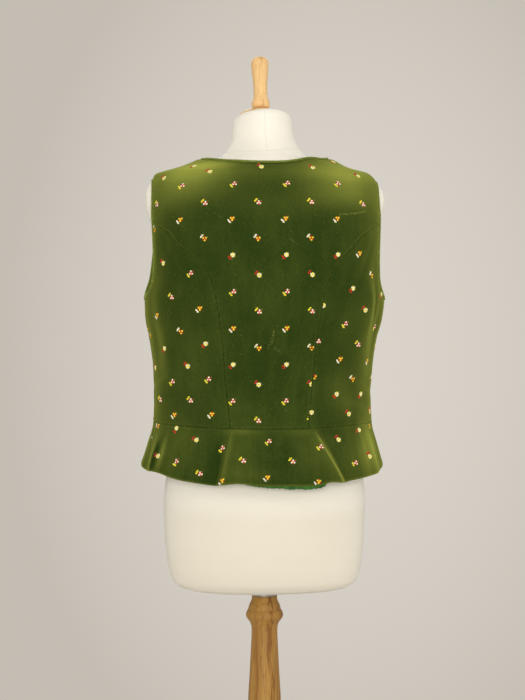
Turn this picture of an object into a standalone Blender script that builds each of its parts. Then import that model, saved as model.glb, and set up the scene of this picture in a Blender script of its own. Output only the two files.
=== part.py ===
"""A velvet waistcoat with a flared back peplum, buttoned round a dress form on a turned wooden stand.

Metres, +Z up, with the origin on the floor under the post. The garment's front faces -Y and its back +Y,
so the wearer's left is +X. A place on the cloth is an angle round the body and a height: 0 degrees is the
left side, 90 the centre back, 180 the right side and 270 (or -90) the centre front.
"""

import math
from collections import namedtuple

import bmesh
import bpy
from mathutils import Vector

# Cloth
CLOTH = 0.0018  # velvet with its backing
LINING = 0.0011
SEAM_GAP = 0.0007  # between two panels at the points of their edges
BUTTON_GAP = 0.0007  # between the upper front and a button's flat underside
LAP_GAP = 0.0006  # between the two fronts where they overlap
PIPING_RADIUS = 0.0018
PIPING_GAP = 0.0008
LINING_GAP = 0.0006

# Heights of the waistcoat
WAIST_SIDE = 0.983
WAIST_DIP = 0.0075  # the waist seam is lower at the centre back
HEM_SIDE = 0.919
HEM_BACK_DIP = 0.023
HEM_FRONT_DIP = 0.012
NECK_POINT = 1.3745  # where the shoulder seam meets the neckline
NECK_BACK_DIP = 0.0115
NECK_FRONT = 1.195  # lowest point of the V neck
SHOULDER_TIP = 1.345
PRINCESS_TOP = 1.277  # where the princess seam starts in the armhole

# Armhole
ARMHOLE_BOTTOM = 1.164
ARMHOLE_WIDEST = 1.235
ARMHOLE_BACK = 0.044
ARMHOLE_FRONT = 0.055
ARMHOLE_ROUND = 2.2

UNDER_NECK_SHARE = 0.96  # share of the left neckline that lies clear of the right front
LEAST_STRAP = math.radians(2.0)  # a front is never narrower than this above the shoulder's tip

# Front closing
OVERLAP = 0.010  # each front edge passes the centre front by this much
OVERLAP_EASE = (0.018, 0.040)  # the under front sinks behind the upper one between these widths
BUTTON_HEIGHTS = (1.171, 1.129, 1.087, 1.045, 1.003)
BUTTON_RADIUS = 0.0075
BUTTON_DOME = 0.0034

Section = namedtuple("Section", "height half_width back front centre squareness lean")

# The waistcoat's outer surface. Back and front are the section's depths from the y = 0 plane, centre is the
# depth of its widest place, and lean widens the left side and narrows the right.
GARMENT_SECTIONS = (
    Section(0.880, 0.1895, 0.1270, 0.1235, 0.000, 2.10, 0.0035),
    Section(0.912, 0.1835, 0.1190, 0.1185, 0.000, 2.10, 0.0035),
    Section(0.950, 0.1725, 0.1040, 0.1110, 0.000, 2.15, 0.0030),
    Section(0.983, 0.1637, 0.0925, 0.1070, 0.000, 2.20, 0.0030),
    Section(1.025, 0.1622, 0.0910, 0.1085, 0.000, 2.30, 0.0030),
    Section(1.065, 0.1642, 0.0940, 0.1140, 0.000, 2.30, 0.0025),
    Section(1.105, 0.1700, 0.1000, 0.1230, 0.000, 2.30, 0.0020),
    Section(1.140, 0.1775, 0.1055, 0.1285, 0.000, 2.35, 0.0010),
    Section(1.166, 0.1792, 0.1085, 0.1270, 0.000, 2.40, 0.0000),
    Section(1.200, 0.1750, 0.1108, 0.1190, 0.000, 2.50, 0.0000),
    Section(1.250, 0.1752, 0.1110, 0.1040, 0.000, 2.50, 0.0000),
    Section(1.280, 0.1750, 0.1080, 0.0930, 0.000, 2.50, 0.0000),
    Section(1.315, 0.1725, 0.0990, 0.0835, 0.000, 2.40, 0.0000),
    Section(1.335, 0.1698, 0.0905, 0.0790, 0.000, 2.25, 0.0000),
    Section(1.345, 0.1665, 0.0860, 0.0775, -0.002, 2.15, 0.0000),
    Section(1.3525, 0.1587, 0.0812, 0.0760, -0.003, 2.05, 0.0000),
    Section(1.3635, 0.1300, 0.0738, 0.0735, -0.005, 2.00, 0.0000),
    Section(1.3745, 0.0965, 0.0668, 0.0710, -0.006, 2.00, 0.0000),
    Section(1.383, 0.0730, 0.0610, 0.0690, -0.007, 2.00, 0.0000),
)

# The dress form's jersey surface.
FORM_SECTIONS = (
    Section(0.7285, 0.1120, 0.0660, 0.0660, 0.000, 2.20, 0.0),
    Section(0.7330, 0.1270, 0.0800, 0.0790, 0.000, 2.20, 0.0),
    Section(0.7450, 0.1385, 0.0900, 0.0880, 0.000, 2.20, 0.0),
    Section(0.7700, 0.1448, 0.0955, 0.0925, 0.000, 2.20, 0.0),
    Section(0.8100, 0.1490, 0.0985, 0.0955, 0.000, 2.20, 0.0),
    Section(0.8600, 0.1508, 0.0985, 0.0965, 0.000, 2.20, 0.0),
    Section(0.9000, 0.1478, 0.0935, 0.0940, 0.000, 2.20, 0.0),
    Section(0.9400, 0.1395, 0.0840, 0.0890, 0.000, 2.20, 0.0),
    Section(0.9850, 0.1270, 0.0725, 0.0830, 0.000, 2.20, 0.0),
    Section(1.0300, 0.1290, 0.0745, 0.0860, 0.000, 2.20, 0.0),
    Section(1.0700, 0.1390, 0.0830, 0.0960, 0.000, 2.20, 0.0),
    Section(1.1100, 0.1520, 0.0930, 0.1120, 0.000, 2.20, 0.0),
    Section(1.1450, 0.1600, 0.0995, 0.1210, 0.000, 2.20, 0.0),
    Section(1.1800, 0.1590, 0.1045, 0.1170, 0.000, 2.20, 0.0),
    Section(1.2200, 0.1555, 0.1065, 0.1060, 0.000, 2.20, 0.0),
    Section(1.2600, 0.1590, 0.1055, 0.0920, 0.000, 2.20, 0.0),
    Section(1.2900, 0.1630, 0.1005, 0.0840, 0.000, 2.20, 0.0),
    Section(1.3180, 0.1655, 0.0930, 0.0780, 0.000, 2.15, 0.0),
    Section(1.3330, 0.1660, 0.0865, 0.0750, -0.001, 2.10, 0.0),
    Section(1.3410, 0.1645, 0.0830, 0.0740, -0.002, 2.05, 0.0),
    Section(1.3452, 0.1612, 0.0800, 0.0730, -0.002, 2.00, 0.0),
    Section(1.3502, 0.1558, 0.0768, 0.0720, -0.003, 2.00, 0.0),
    Section(1.3604, 0.1286, 0.0702, 0.0695, -0.005, 2.00, 0.0),
    Section(1.3711, 0.0957, 0.0635, 0.0670, -0.006, 2.00, 0.0),
    Section(1.3782, 0.0666, 0.0555, 0.0650, -0.008, 2.00, 0.0),
    Section(1.3930, 0.0522, 0.0425, 0.0645, -0.012, 2.00, 0.0),
    Section(1.4080, 0.0465, 0.0345, 0.0640, -0.015, 2.00, 0.0),
    Section(1.4250, 0.0452, 0.0310, 0.0630, -0.016, 2.00, 0.0),
    Section(1.4365, 0.0440, 0.0290, 0.0610, -0.016, 2.00, 0.0),
    Section(1.4410, 0.0415, 0.0260, 0.0580, -0.016, 2.00, 0.0),
    Section(1.4428, 0.0380, 0.0220, 0.0540, -0.016, 2.00, 0.0),
)
NECK_TILT = 0.17  # rise of the neck's top per metre towards the back
NECK_LEAN = 0.04  # and towards the right
NECK_TILT_FROM = 1.400
FORM_QUARTER = (0.0, 4.0, 8.0, 13.0, 19.0, 27.0, 37.0, 48.0, 60.0, 74.0)  # degrees in a quarter of a ring
FORM_STEPS = 36  # rings in all, the longest gaps between sections being halved

# Rounded caps where arms would be, standing out of the torso's sides.
ARM_CAP_HEIGHT = 1.3105
ARM_CAP_DEPTH = -0.001
ARM_CAP_HALF_HEIGHT = 0.0302
ARM_CAP_HALF_DEPTH = 0.0262
ARM_CAP_REACH = 0.0125

# Seams, as distances from the centre line.
PRINCESS_SEAM = (  # height, width
    (0.960, 0.0553),
    (0.980, 0.0568),
    (1.035, 0.0622),
    (1.104, 0.0688),
    (1.150, 0.0755),
    (1.185, 0.0830),
    (1.208, 0.0940),
    (1.232, 0.1135),
    (1.256, 0.1360),
    (1.277, 0.1655),
)
SIDE_SEAM = (  # height, depth behind the side line
    (0.880, 0.040),
    (0.912, 0.035),
    (0.950, 0.024),
    (0.983, 0.014),
    (1.060, 0.010),
    (1.164, 0.010),
)

# Heights of the rows of points in the panels.
HEM_ROWS = (0.919, 0.933, 0.949, 0.966)
BODY_ROWS = (0.983, 1.003, 1.024, 1.045, 1.066, 1.087, 1.108, 1.129, 1.148, 1.164)
ARMHOLE_ROWS = (1.1643, 1.1655, 1.171, 1.180, 1.195, 1.215, 1.235, 1.256, 1.267, 1.273, 1.2758)
SHOULDER_ROWS = (1.277, 1.300, 1.320, 1.334, 1.3405, 1.344, 1.345)
STRAP_ROWS = (1.3505, 1.358, 1.366, 1.3715, 1.3745)
PEPLUM_ROWS = 6
WAIST_BEND = 0.12  # how far above the waist seam its dip still bends the rows
NECK_BEND = 0.07  # and how far below the back neckline its curve does

Wave = namedtuple("Wave", "angle width lift")

# Where the back hem rises or hangs low. Degrees and metres.
HEM_WAVES = (
    Wave(62.0, 7.0, -0.0022),
    Wave(78.0, 6.0, 0.0020),
    Wave(110.0, 8.0, -0.0024),
    Wave(122.5, 4.5, 0.0045),
)

Fold = namedtuple("Fold", "top_angle hem_angle width rise")

# The peplum's flutes: they start flat at the waist seam and open towards the hem. Degrees and metres.
PEPLUM_FOLDS = (
    Fold(8.0, 13.0, 5.0, -0.0040),
    Fold(24.0, 26.0, 7.0, 0.0040),
    Fold(62.0, 60.0, 5.5, -0.0060),
    Fold(72.0, 69.5, 5.0, 0.0065),
    Fold(92.0, 94.0, 11.0, -0.0025),
    Fold(113.0, 122.0, 5.5, 0.0080),
    Fold(121.0, 131.0, 5.0, -0.0065),
    Fold(152.0, 152.0, 7.0, 0.0035),
    Fold(170.0, 166.0, 5.0, -0.0035),
)

Crease = namedtuple("Crease", "angle height width length depth")

# Soft upright troughs and ridges in the body of the garment. Degrees and metres.
BODY_CREASES = (
    Crease(20.0, 1.120, 7.0, 0.050, -0.0030),
    Crease(160.0, 1.125, 6.0, 0.055, -0.0035),
    Crease(148.0, 1.110, 6.0, 0.050, 0.0022),
    Crease(33.0, 1.085, 7.0, 0.045, 0.0020),
    Crease(-28.0, 1.060, 7.0, 0.060, -0.0030),
    Crease(208.0, 1.065, 7.0, 0.060, -0.0030),
)

LINING_EDGE = (  # width, drop below the velvet's hem
    (-0.084, -0.0030),
    (-0.074, 0.0030),
    (-0.055, 0.0052),
    (-0.037, 0.0030),
    (-0.020, 0.0058),
    (0.000, 0.0030),
    (0.014, 0.0050),
    (0.026, 0.0030),
    (0.038, -0.0030),
)
LINING_RISE = 0.024  # how far the strip reaches up inside the peplum

# Turned pieces: profiles of height and radius.
CAP_AND_KNOB_AT = (0.0035, -0.016, 1.4430)
CAP_PROFILE = (
    (0.0, 0.0),
    (0.0, 0.0345),
    (0.0020, 0.0358),
    (0.0048, 0.0345),
    (0.0088, 0.0260),
    (0.0118, 0.0140),
    (0.0122, 0.0),
)
KNOB_FOOT = 0.0125  # height of the knob's foot above the cap's
KNOB_PROFILE = (
    (0.0, 0.0),
    (0.0, 0.0108),
    (0.0018, 0.0128),
    (0.0070, 0.0136),
    (0.0135, 0.0124),
    (0.0283, 0.0106),
    (0.0450, 0.0114),
    (0.0588, 0.0126),
    (0.0700, 0.0131),
    (0.0762, 0.0120),
    (0.0797, 0.0085),
    (0.0811, 0.0040),
    (0.0814, 0.0),
)
COLLAR_PROFILE = (
    (0.7252, 0.0),
    (0.7252, 0.0215),
    (0.7282, 0.0215),
    (0.7282, 0.0),
)
POST_FOOT = 0.0300
POST_TOP = 0.7249
POST_PROFILE = (
    (POST_FOOT, 0.0),
    (POST_FOOT, 0.0200),
    (0.0420, 0.0260),
    (0.0560, 0.0270),
    (0.0680, 0.0215),
    (0.0800, 0.0200),
    (0.0900, 0.0235),
    (0.1000, 0.0200),
    (0.1700, 0.0185),
    (0.3200, 0.0215),
    (0.4600, 0.0255),
    (0.5650, 0.0252),
    (0.6300, 0.0220),
    (0.6600, 0.0196),
    (0.6715, 0.0190),
    (0.6800, 0.0225),
    (0.6840, 0.0268),
    (0.6930, 0.0279),
    (0.7005, 0.0266),
    (0.7012, 0.0236),
    (0.7120, 0.0205),
    (POST_TOP, 0.0190),
    (POST_TOP, 0.0),
)
BASE_RADIUS = 0.195
BASE_TOP = 0.0297
BASE_PROFILE = (
    (0.0, 0.0),
    (0.0, BASE_RADIUS - 0.004),
    (0.004, BASE_RADIUS),
    (0.012, BASE_RADIUS),
    (0.018, BASE_RADIUS - 0.006),
    (0.021, 0.150),
    (0.0245, 0.080),
    (BASE_TOP, 0.045),
    (BASE_TOP, 0.0),
)


def monotone_slopes(places, values):
    """Slopes for a cubic through the rows that never swings past them."""
    spans = [high - low for low, high in zip(places, places[1:])]
    steps = [(after - before) / span for before, after, span in zip(values, values[1:], spans)]
    inner = [2 * a * b / (a + b) if a * b > 0 else 0.0 for a, b in zip(steps, steps[1:])]
    return [steps[0], *inner, steps[-1]]


def cubic(place, low, high, values, slopes):
    span = high - low
    t = (place - low) / span
    return (
        values[0] * (1 + 2 * t) * (1 - t) ** 2
        + values[1] * t * t * (3 - 2 * t)
        + span * (slopes[0] * t * (1 - t) ** 2 - slopes[1] * t * t * (1 - t))
    )


class Rows:
    """A table read at any place between its first and last rows; the first column is the place."""

    def __init__(self, rows):
        self.places = [row[0] for row in rows]
        self.columns = list(zip(*rows))[1:]
        self.slopes = [monotone_slopes(self.places, column) for column in self.columns]

    def at(self, place):
        place = min(max(place, self.places[0]), self.places[-1])
        k = 0
        while k < len(self.places) - 2 and place > self.places[k + 1]:
            k += 1
        low, high = self.places[k], self.places[k + 1]
        pairs = zip(self.columns, self.slopes)
        return [cubic(place, low, high, values[k : k + 2], slopes[k : k + 2]) for values, slopes in pairs]


GARMENT = Rows(GARMENT_SECTIONS)
FORM = Rows(FORM_SECTIONS)
PRINCESS = Rows(PRINCESS_SEAM)
SIDE = Rows(SIDE_SEAM)
LINING_DROP = Rows(LINING_EDGE)


def power(value, exponent):
    return math.copysign(abs(value) ** exponent, value)


def smooth(t):
    t = min(max(t, 0.0), 1.0)
    return t * t * (3 - 2 * t)


def section_point(body, angle, height):
    """The point of a body's rounded-square section at this angle and height."""
    half_width, back, front, centre, squareness, lean = body.at(height)
    across, along = math.cos(angle), math.sin(angle)
    depth = back - centre if along >= 0 else front + centre
    x = (half_width + math.copysign(lean, across)) * power(across, 2 / squareness)
    y = centre + depth * power(along, 2 / squareness)
    return Vector((x, y, height))


def fold_height(angle, height):
    """How far the flutes and creases stand out of the plain surface here."""
    degrees = math.degrees(angle)
    total = 0.0
    open_share = (WAIST_SIDE - height) / (WAIST_SIDE - HEM_SIDE)
    if open_share > 0 and -5.0 < degrees < 185.0:
        for fold in PEPLUM_FOLDS:
            middle = fold.top_angle + (fold.hem_angle - fold.top_angle) * open_share
            away = (degrees - middle) / fold.width
            total += fold.rise * smooth(open_share / 1.2) * math.exp(-away * away)
    for crease in BODY_CREASES:
        away = (degrees - crease.angle) / crease.width
        up = (height - crease.height) / crease.length
        total += crease.depth * math.exp(-away * away - up * up)
    return total


def cloth_point(angle, height, lift=0.0):
    """A point of the garment's outer surface, moved out of it by lift."""
    turn, rise = 0.01, 0.0005  # half steps for the slopes, in radians and metres
    across = section_point(GARMENT, angle + turn, height) - section_point(GARMENT, angle - turn, height)
    upward = section_point(GARMENT, angle, height + rise) - section_point(GARMENT, angle, height - rise)
    normal = across.cross(upward).normalized()
    return section_point(GARMENT, angle, height) + normal * (lift + fold_height(angle, height))


def angle_at_depth(height, depth):
    """Angle on the left half where the section lies at this depth; behind the side line it is positive."""
    _, back, front, centre, squareness, _ = GARMENT.at(height)
    reach = back - centre if depth >= centre else front + centre
    return math.asin(power(min(max((depth - centre) / reach, -1.0), 1.0), squareness / 2))


def angle_at_width(side, height, width):
    """Angle on the left half where the section lies this far from the centre line."""
    half_width, _, _, _, squareness, lean = GARMENT.at(height)
    share = min(max(width / (half_width + side * lean), -1.0), 1.0)
    return math.acos(power(share, squareness / 2))


def on_side(side, angle):
    """Turns an angle of the left half into the same place on the given side: 1 is left, -1 is right."""
    return angle if side > 0 else math.pi - angle


def waist_height(angle):
    return WAIST_SIDE - WAIST_DIP * max(math.sin(angle), 0.0) ** 2


def hem_height(angle):
    dip = HEM_BACK_DIP if math.sin(angle) > 0 else HEM_FRONT_DIP
    waves = 0.0
    for wave in HEM_WAVES:
        away = (math.degrees(angle) - wave.angle) / wave.width
        waves += wave.lift * math.exp(-away * away)
    return HEM_SIDE - dip * abs(math.sin(angle)) + waves


def neck_height(angle):
    return NECK_POINT - NECK_BACK_DIP * max(math.sin(angle), 0.0) ** 2.5


def settled(angle, height):
    """The height of a row's point, after the hem, waist seam and back neckline bend the row."""
    if height <= WAIST_SIDE:
        share = (height - HEM_SIDE) / (WAIST_SIDE - HEM_SIDE)
        return hem_height(angle) + (waist_height(angle) - hem_height(angle)) * share
    waist_share = 1 - smooth((height - WAIST_SIDE) / WAIST_BEND)
    neck_share = smooth(1 - (NECK_POINT - height) / NECK_BEND)
    moved = (waist_height(angle) - WAIST_SIDE) * waist_share
    return height + moved + (neck_height(angle) - NECK_POINT) * neck_share


def armhole_reach(height):
    """Share of the armhole's full depth at this height, on an oval that is widest below its middle."""
    span = SHOULDER_TIP - ARMHOLE_WIDEST if height > ARMHOLE_WIDEST else ARMHOLE_WIDEST - ARMHOLE_BOTTOM
    share = min(abs(height - ARMHOLE_WIDEST) / span, 1.0)
    return (1 - share**ARMHOLE_ROUND) ** (1 / ARMHOLE_ROUND)


def armhole_middle(height):
    """Depth of the armhole's middle line, from the side seam up to the shoulder's ridge."""
    share = (height - ARMHOLE_BOTTOM) / (SHOULDER_TIP - ARMHOLE_BOTTOM)
    low = SIDE.at(ARMHOLE_BOTTOM)[0]
    return low + (GARMENT.at(SHOULDER_TIP)[3] - low) * share


def back_edge(height):
    """Outer edge of the back on the left half: side seam, armhole, then the shoulder's ridge."""
    if height <= ARMHOLE_BOTTOM:
        return angle_at_depth(height, SIDE.at(height)[0] + SEAM_GAP / 2)
    if height < SHOULDER_TIP:
        depth = armhole_middle(height) + ARMHOLE_BACK * armhole_reach(height)
        return angle_at_depth(height, depth + SEAM_GAP / 2)
    return angle_at_depth(height, GARMENT.at(height)[3] + SEAM_GAP / 2)


def front_outer_edge(height):
    """Outer edge of a front on the left half."""
    if height <= ARMHOLE_BOTTOM:
        return angle_at_depth(height, SIDE.at(height)[0] - SEAM_GAP / 2)
    if height < SHOULDER_TIP:
        depth = armhole_middle(height) - ARMHOLE_FRONT * armhole_reach(height)
        return angle_at_depth(height, depth - SEAM_GAP / 2)
    return angle_at_depth(height, GARMENT.at(height)[3] - SEAM_GAP / 2)


def neckline_width(height):
    """Distance of the front neckline from the centre line; negative past it."""
    drop = (NECK_POINT - height) / (NECK_POINT - NECK_FRONT)
    neck_point_width = GARMENT.at(NECK_POINT)[0]
    return neck_point_width - (neck_point_width + OVERLAP) * max(drop, 0.0) ** (2 / 3)


def front_inner_edge(side, height):
    """Inner edge of a front on the left half: the neckline, then the straight front edge."""
    width = neckline_width(height) if height > NECK_FRONT else -OVERLAP
    tip = front_outer_edge(height) - LEAST_STRAP if height >= SHOULDER_TIP else 0.0
    return min(-angle_at_width(side, height, width), tip)


def princess_angle(side, height, move):
    return angle_at_width(side, height, PRINCESS.at(height)[0] + move)


def under_lap(angle, height):
    """The left front sinks behind the right one near the centre front."""
    x = section_point(GARMENT, angle, height).x
    near, far = OVERLAP_EASE
    return -(CLOTH + LAP_GAP) * (1 - smooth((x - near) / (far - near)))


def flat_on_top(angle, height):
    return 0.0


def even_shares(columns):
    return [j / columns for j in range(columns + 1)]


def make_material(name, colour, roughness, metallic=0.0):
    made = bpy.data.materials.new(name)
    made.use_nodes = True
    shader = made.node_tree.nodes["Principled BSDF"]
    shader.inputs["Base Color"].default_value = (*colour, 1.0)
    shader.inputs["Roughness"].default_value = roughness
    shader.inputs["Metallic"].default_value = metallic
    return made


def add_object(name, data, finish):
    data.materials.append(make_material(name, *finish))
    made = bpy.data.objects.new(name, data)
    bpy.context.scene.collection.objects.link(made)
    return made


def add_mesh(name, points, faces, finish):
    mesh = bpy.data.meshes.new(name)
    mesh.from_pydata([tuple(point) for point in points], [], faces)
    mesh.shade_smooth()
    mesh.set_sharp_from_angle(angle=math.radians(50))
    return add_object(name, mesh, finish)


def wall(name, rows, thickness, lift, finish):
    """A closed wall on rows of (angle, height) places; angles grow along a row, heights from row to row."""
    across, up = len(rows[0]), len(rows)
    flat = [place for row in rows for place in row]
    outer = [cloth_point(angle, height, lift(angle, height)) for angle, height in flat]
    inner = [cloth_point(angle, height, lift(angle, height) - thickness) for angle, height in flat]
    below = len(outer)
    faces = []
    for i in range(up - 1):
        for j in range(across - 1):
            first = i * across + j
            corners = (first, first + 1, first + across + 1, first + across)
            faces.append(corners)
            faces.append(tuple(below + corner for corner in reversed(corners)))
    rim = list(range(across))
    rim += [i * across + across - 1 for i in range(1, up)]
    rim += [(up - 1) * across + j for j in range(across - 2, -1, -1)]
    rim += [i * across for i in range(up - 2, 0, -1)]
    for a, b in zip(rim, rim[1:] + rim[:1]):
        faces.append((b, a, below + a, below + b))
    return add_mesh(name, outer + inner, faces, finish)


def panel(name, heights, shares, start_edge, end_edge, finish, lift=flat_on_top):
    """A cut piece between two edges, each a function that gives an angle at a height."""
    rows = []
    for height in heights:
        start, end = start_edge(height), end_edge(height)
        angles = [start + (end - start) * share for share in shares]
        rows.append([(angle, settled(angle, height)) for angle in angles])
    return wall(name, rows, CLOTH, lift, finish)


def tube(name, points, radius, closed, finish):
    """A round cord through the points."""
    curve = bpy.data.curves.new(name, "CURVE")
    curve.dimensions = "3D"
    curve.bevel_depth = radius
    curve.bevel_resolution = 1
    curve.use_fill_caps = not closed
    spline = curve.splines.new("POLY")
    spline.points.add(len(points) - 1)
    for point, place in zip(spline.points, points):
        point.co = (*place, 1.0)
    spline.use_cyclic_u = closed
    return add_object(name, curve, finish)


def turned(name, profile, sides, finish):
    """A turned piece: its profile of (height, radius) spun once round the Z axis."""
    bm = bmesh.new()
    points = [bm.verts.new((radius, 0.0, height)) for height, radius in profile]
    edges = [bm.edges.new(pair) for pair in zip(points, points[1:])]
    bmesh.ops.spin(bm, geom=points + edges, cent=(0, 0, 0), axis=(0, 0, 1), angle=math.tau, steps=sides)
    bmesh.ops.remove_doubles(bm, verts=bm.verts, dist=1e-6)
    bmesh.ops.recalc_face_normals(bm, faces=bm.faces)
    mesh = bpy.data.meshes.new(name)
    bm.to_mesh(mesh)
    bm.free()
    mesh.shade_smooth()
    mesh.set_sharp_from_angle(angle=math.radians(40))
    return add_object(name, mesh, finish)


def beside_edge(places, closed):
    """The middle line of a piping beside a cloth edge; the cloth lies on the left of the way along it."""
    surface = [cloth_point(angle, height) for angle, height in places]
    line = []
    for k, (angle, height) in enumerate(places):
        before = surface[k - 1] if closed or k else surface[k]
        after = surface[(k + 1) % len(surface)] if closed or k + 1 < len(surface) else surface[k]
        out = (cloth_point(angle, height, CLOTH) - surface[k]).normalized()
        away = (after - before).cross(out).normalized()
        line.append(surface[k] + away * (PIPING_GAP + PIPING_RADIUS))
    return line


VELVET = ((0.055, 0.075, 0.016), 0.85)
PIPING = ((0.060, 0.080, 0.018), 0.80)
GREEN_SILK = ((0.028, 0.156, 0.015), 0.55)
JERSEY = ((0.855, 0.800, 0.665), 0.90)
LIGHT_WOOD = ((0.770, 0.500, 0.230), 0.50)
HONEY_WOOD = ((0.360, 0.200, 0.080), 0.50)
GREY_METAL = ((0.500, 0.490, 0.470), 0.40, 0.8)


def add_back():
    up_to_armhole = BODY_ROWS + ARMHOLE_ROWS
    narrow = SEAM_GAP / 2

    def left(height):
        return princess_angle(1, height, -narrow) if height < PRINCESS_TOP else back_edge(height)

    def right(height):
        mirrored = princess_angle(-1, height, -narrow) if height < PRINCESS_TOP else back_edge(height)
        return math.pi - mirrored

    panel("back_centre", up_to_armhole + SHOULDER_ROWS + STRAP_ROWS, even_shares(14), left, right, VELVET)
    side = even_shares(6)
    panel("back_side_left", up_to_armhole, side, back_edge, lambda h: princess_angle(1, h, narrow), VELVET)
    panel(
        "back_side_right",
        up_to_armhole,
        side,
        lambda height: math.pi - princess_angle(-1, height, narrow),
        lambda height: math.pi - back_edge(height),
        VELVET,
    )


def add_peplum():
    reach = WAIST_SIDE - SEAM_GAP - HEM_SIDE
    steps = [HEM_SIDE + reach * share for share in even_shares(PEPLUM_ROWS)]
    panel("back_peplum", steps, even_shares(54), back_edge, lambda h: math.pi - back_edge(h), VELVET)


def add_lining():
    """A strip inside the peplum's hem, whose lower edge shows unevenly below it."""
    columns, steps = 24, 3
    low, high = LINING_EDGE[0][0], LINING_EDGE[-1][0]
    rows = []
    for i in range(steps + 1):
        row = []
        for j in range(columns + 1):
            width = high + (low - high) * j / columns
            angle = on_side(math.copysign(1, width), angle_at_width(1, HEM_SIDE, abs(width)))
            bottom = hem_height(angle) - LINING_DROP.at(width)[0]
            row.append((angle, bottom + (hem_height(angle) + LINING_RISE - bottom) * i / steps))
        rows.append(row)
    wall("lining_hem", rows, LINING, lambda angle, height: -CLOTH - LINING_GAP, GREEN_SILK)


def add_fronts():
    heights = HEM_ROWS + BODY_ROWS + ARMHOLE_ROWS + SHOULDER_ROWS + STRAP_ROWS
    shares = [share**1.4 for share in even_shares(13)]  # closer together towards the front edge
    mirrored = [1 - share for share in reversed(shares)]
    panel(
        "front_left",
        heights,
        shares,
        lambda height: front_inner_edge(1, height),
        front_outer_edge,
        VELVET,
        under_lap,
    )
    panel(
        "front_right",
        heights,
        mirrored,
        lambda height: math.pi - front_outer_edge(height),
        lambda height: math.pi - front_inner_edge(-1, height),
        VELVET,
    )


def add_armhole_piping(name, side):
    steps = 40
    places = []
    for k in range(steps):
        turn = math.tau * k / steps
        lower = math.cos(turn) > 0
        span = ARMHOLE_WIDEST - ARMHOLE_BOTTOM if lower else SHOULDER_TIP - ARMHOLE_WIDEST
        height = ARMHOLE_WIDEST - span * power(math.cos(turn), 2 / ARMHOLE_ROUND)
        reach = power(math.sin(turn), 2 / ARMHOLE_ROUND)
        depth = armhole_middle(height) + (ARMHOLE_BACK if reach > 0 else ARMHOLE_FRONT) * reach
        places.append((on_side(side, angle_at_depth(height, depth)), height))
    if side > 0:
        places.reverse()
    tube(name, beside_edge(places, closed=True), PIPING_RADIUS, True, PIPING)


def front_neckline(side):
    """Places down the V neck, from just below the neck point; the steps shorten towards the neck point."""
    steps = 22
    visible_share = UNDER_NECK_SHARE if side > 0 else 1.0
    places = []
    for k in range(1, steps + 1):
        drop = ((k / steps) ** 1.6 * visible_share) ** 1.5
        height = NECK_POINT - (NECK_POINT - NECK_FRONT) * drop
        places.append((on_side(side, -angle_at_width(side, height, neckline_width(height))), height))
    return places


def add_neck_piping():
    """From the right front's corner up round the back neck and down to where the right front covers it."""
    steps = 24
    back_angles = [math.pi * (1 - k / steps) for k in range(steps + 1)]
    back = [(angle, neck_height(angle)) for angle in back_angles]
    seen = [place for place in front_neckline(1) if section_point(GARMENT, *place).x > OVERLAP - 0.001]
    places = front_neckline(-1)[::-1] + back + seen
    tube("neck_piping", beside_edge(places, closed=False), PIPING_RADIUS, False, PIPING)


def add_buttons():
    """Domed buttons, covered in the garment's cloth, on the upper front."""
    profile = (
        (0.0, 0.0),
        (0.0, BUTTON_RADIUS * 0.84),
        (0.0010, BUTTON_RADIUS),
        (0.0018, BUTTON_RADIUS * 0.96),
        (BUTTON_DOME * 0.88, BUTTON_RADIUS * 0.55),
        (BUTTON_DOME, 0.0),
    )
    centre_front = math.radians(270)
    for number, height in enumerate(BUTTON_HEIGHTS, start=1):
        button = turned(f"button_{number}", profile, 12, PIPING)
        seat = cloth_point(centre_front, height, 0.0)
        out = (cloth_point(centre_front, height, CLOTH) - seat).normalized()
        button.location = seat + out * BUTTON_GAP
        button.rotation_mode = "QUATERNION"
        button.rotation_quaternion = out.to_track_quat("Z", "Y")


def arm_cap(point):
    """How far the arm cap stands out of the torso's side at this point."""
    along = (point.y - ARM_CAP_DEPTH) / ARM_CAP_HALF_DEPTH
    up = (point.z - ARM_CAP_HEIGHT) / ARM_CAP_HALF_HEIGHT
    away = along * along + up * up
    on_side_face = abs(point.x) > ARM_CAP_HALF_DEPTH
    return ARM_CAP_REACH * max(1 - away * away, 0.0) if on_side_face else 0.0


def add_form():
    """The jersey-covered torso: rings from the rounded bottom edge to the tilted top of the neck."""
    top = FORM.places[-1]
    heights = list(FORM.places)
    while len(heights) < FORM_STEPS:
        gaps = [(b - a, k) for k, (a, b) in enumerate(zip(heights, heights[1:]))]
        _, k = max(gaps)
        heights.insert(k + 1, (heights[k] + heights[k + 1]) / 2)
    quarter = list(FORM_QUARTER)
    half = quarter + [90.0] + [180.0 - degrees for degrees in reversed(quarter[1:])]
    ring = half + [180.0 + degrees for degrees in half]
    points = []
    for height in heights:
        for degrees in ring:
            point = section_point(FORM, math.radians(degrees), height)
            tilt = smooth((height - NECK_TILT_FROM) / (top - NECK_TILT_FROM))
            point.x += math.copysign(arm_cap(point), point.x)
            point.z += tilt * (NECK_TILT * (point.y - CAP_AND_KNOB_AT[1]) - NECK_LEAN * point.x)
            points.append(point)
    sides = len(ring)
    faces = []
    for i in range(len(heights) - 1):
        for j in range(sides):
            k = (j + 1) % sides
            faces.append((i * sides + j, i * sides + k, (i + 1) * sides + k, (i + 1) * sides + j))
    faces.append(tuple(range(sides - 1, -1, -1)))
    faces.append(tuple(range(len(points) - sides, len(points))))
    add_mesh("form_torso", points, faces, JERSEY)


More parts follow.
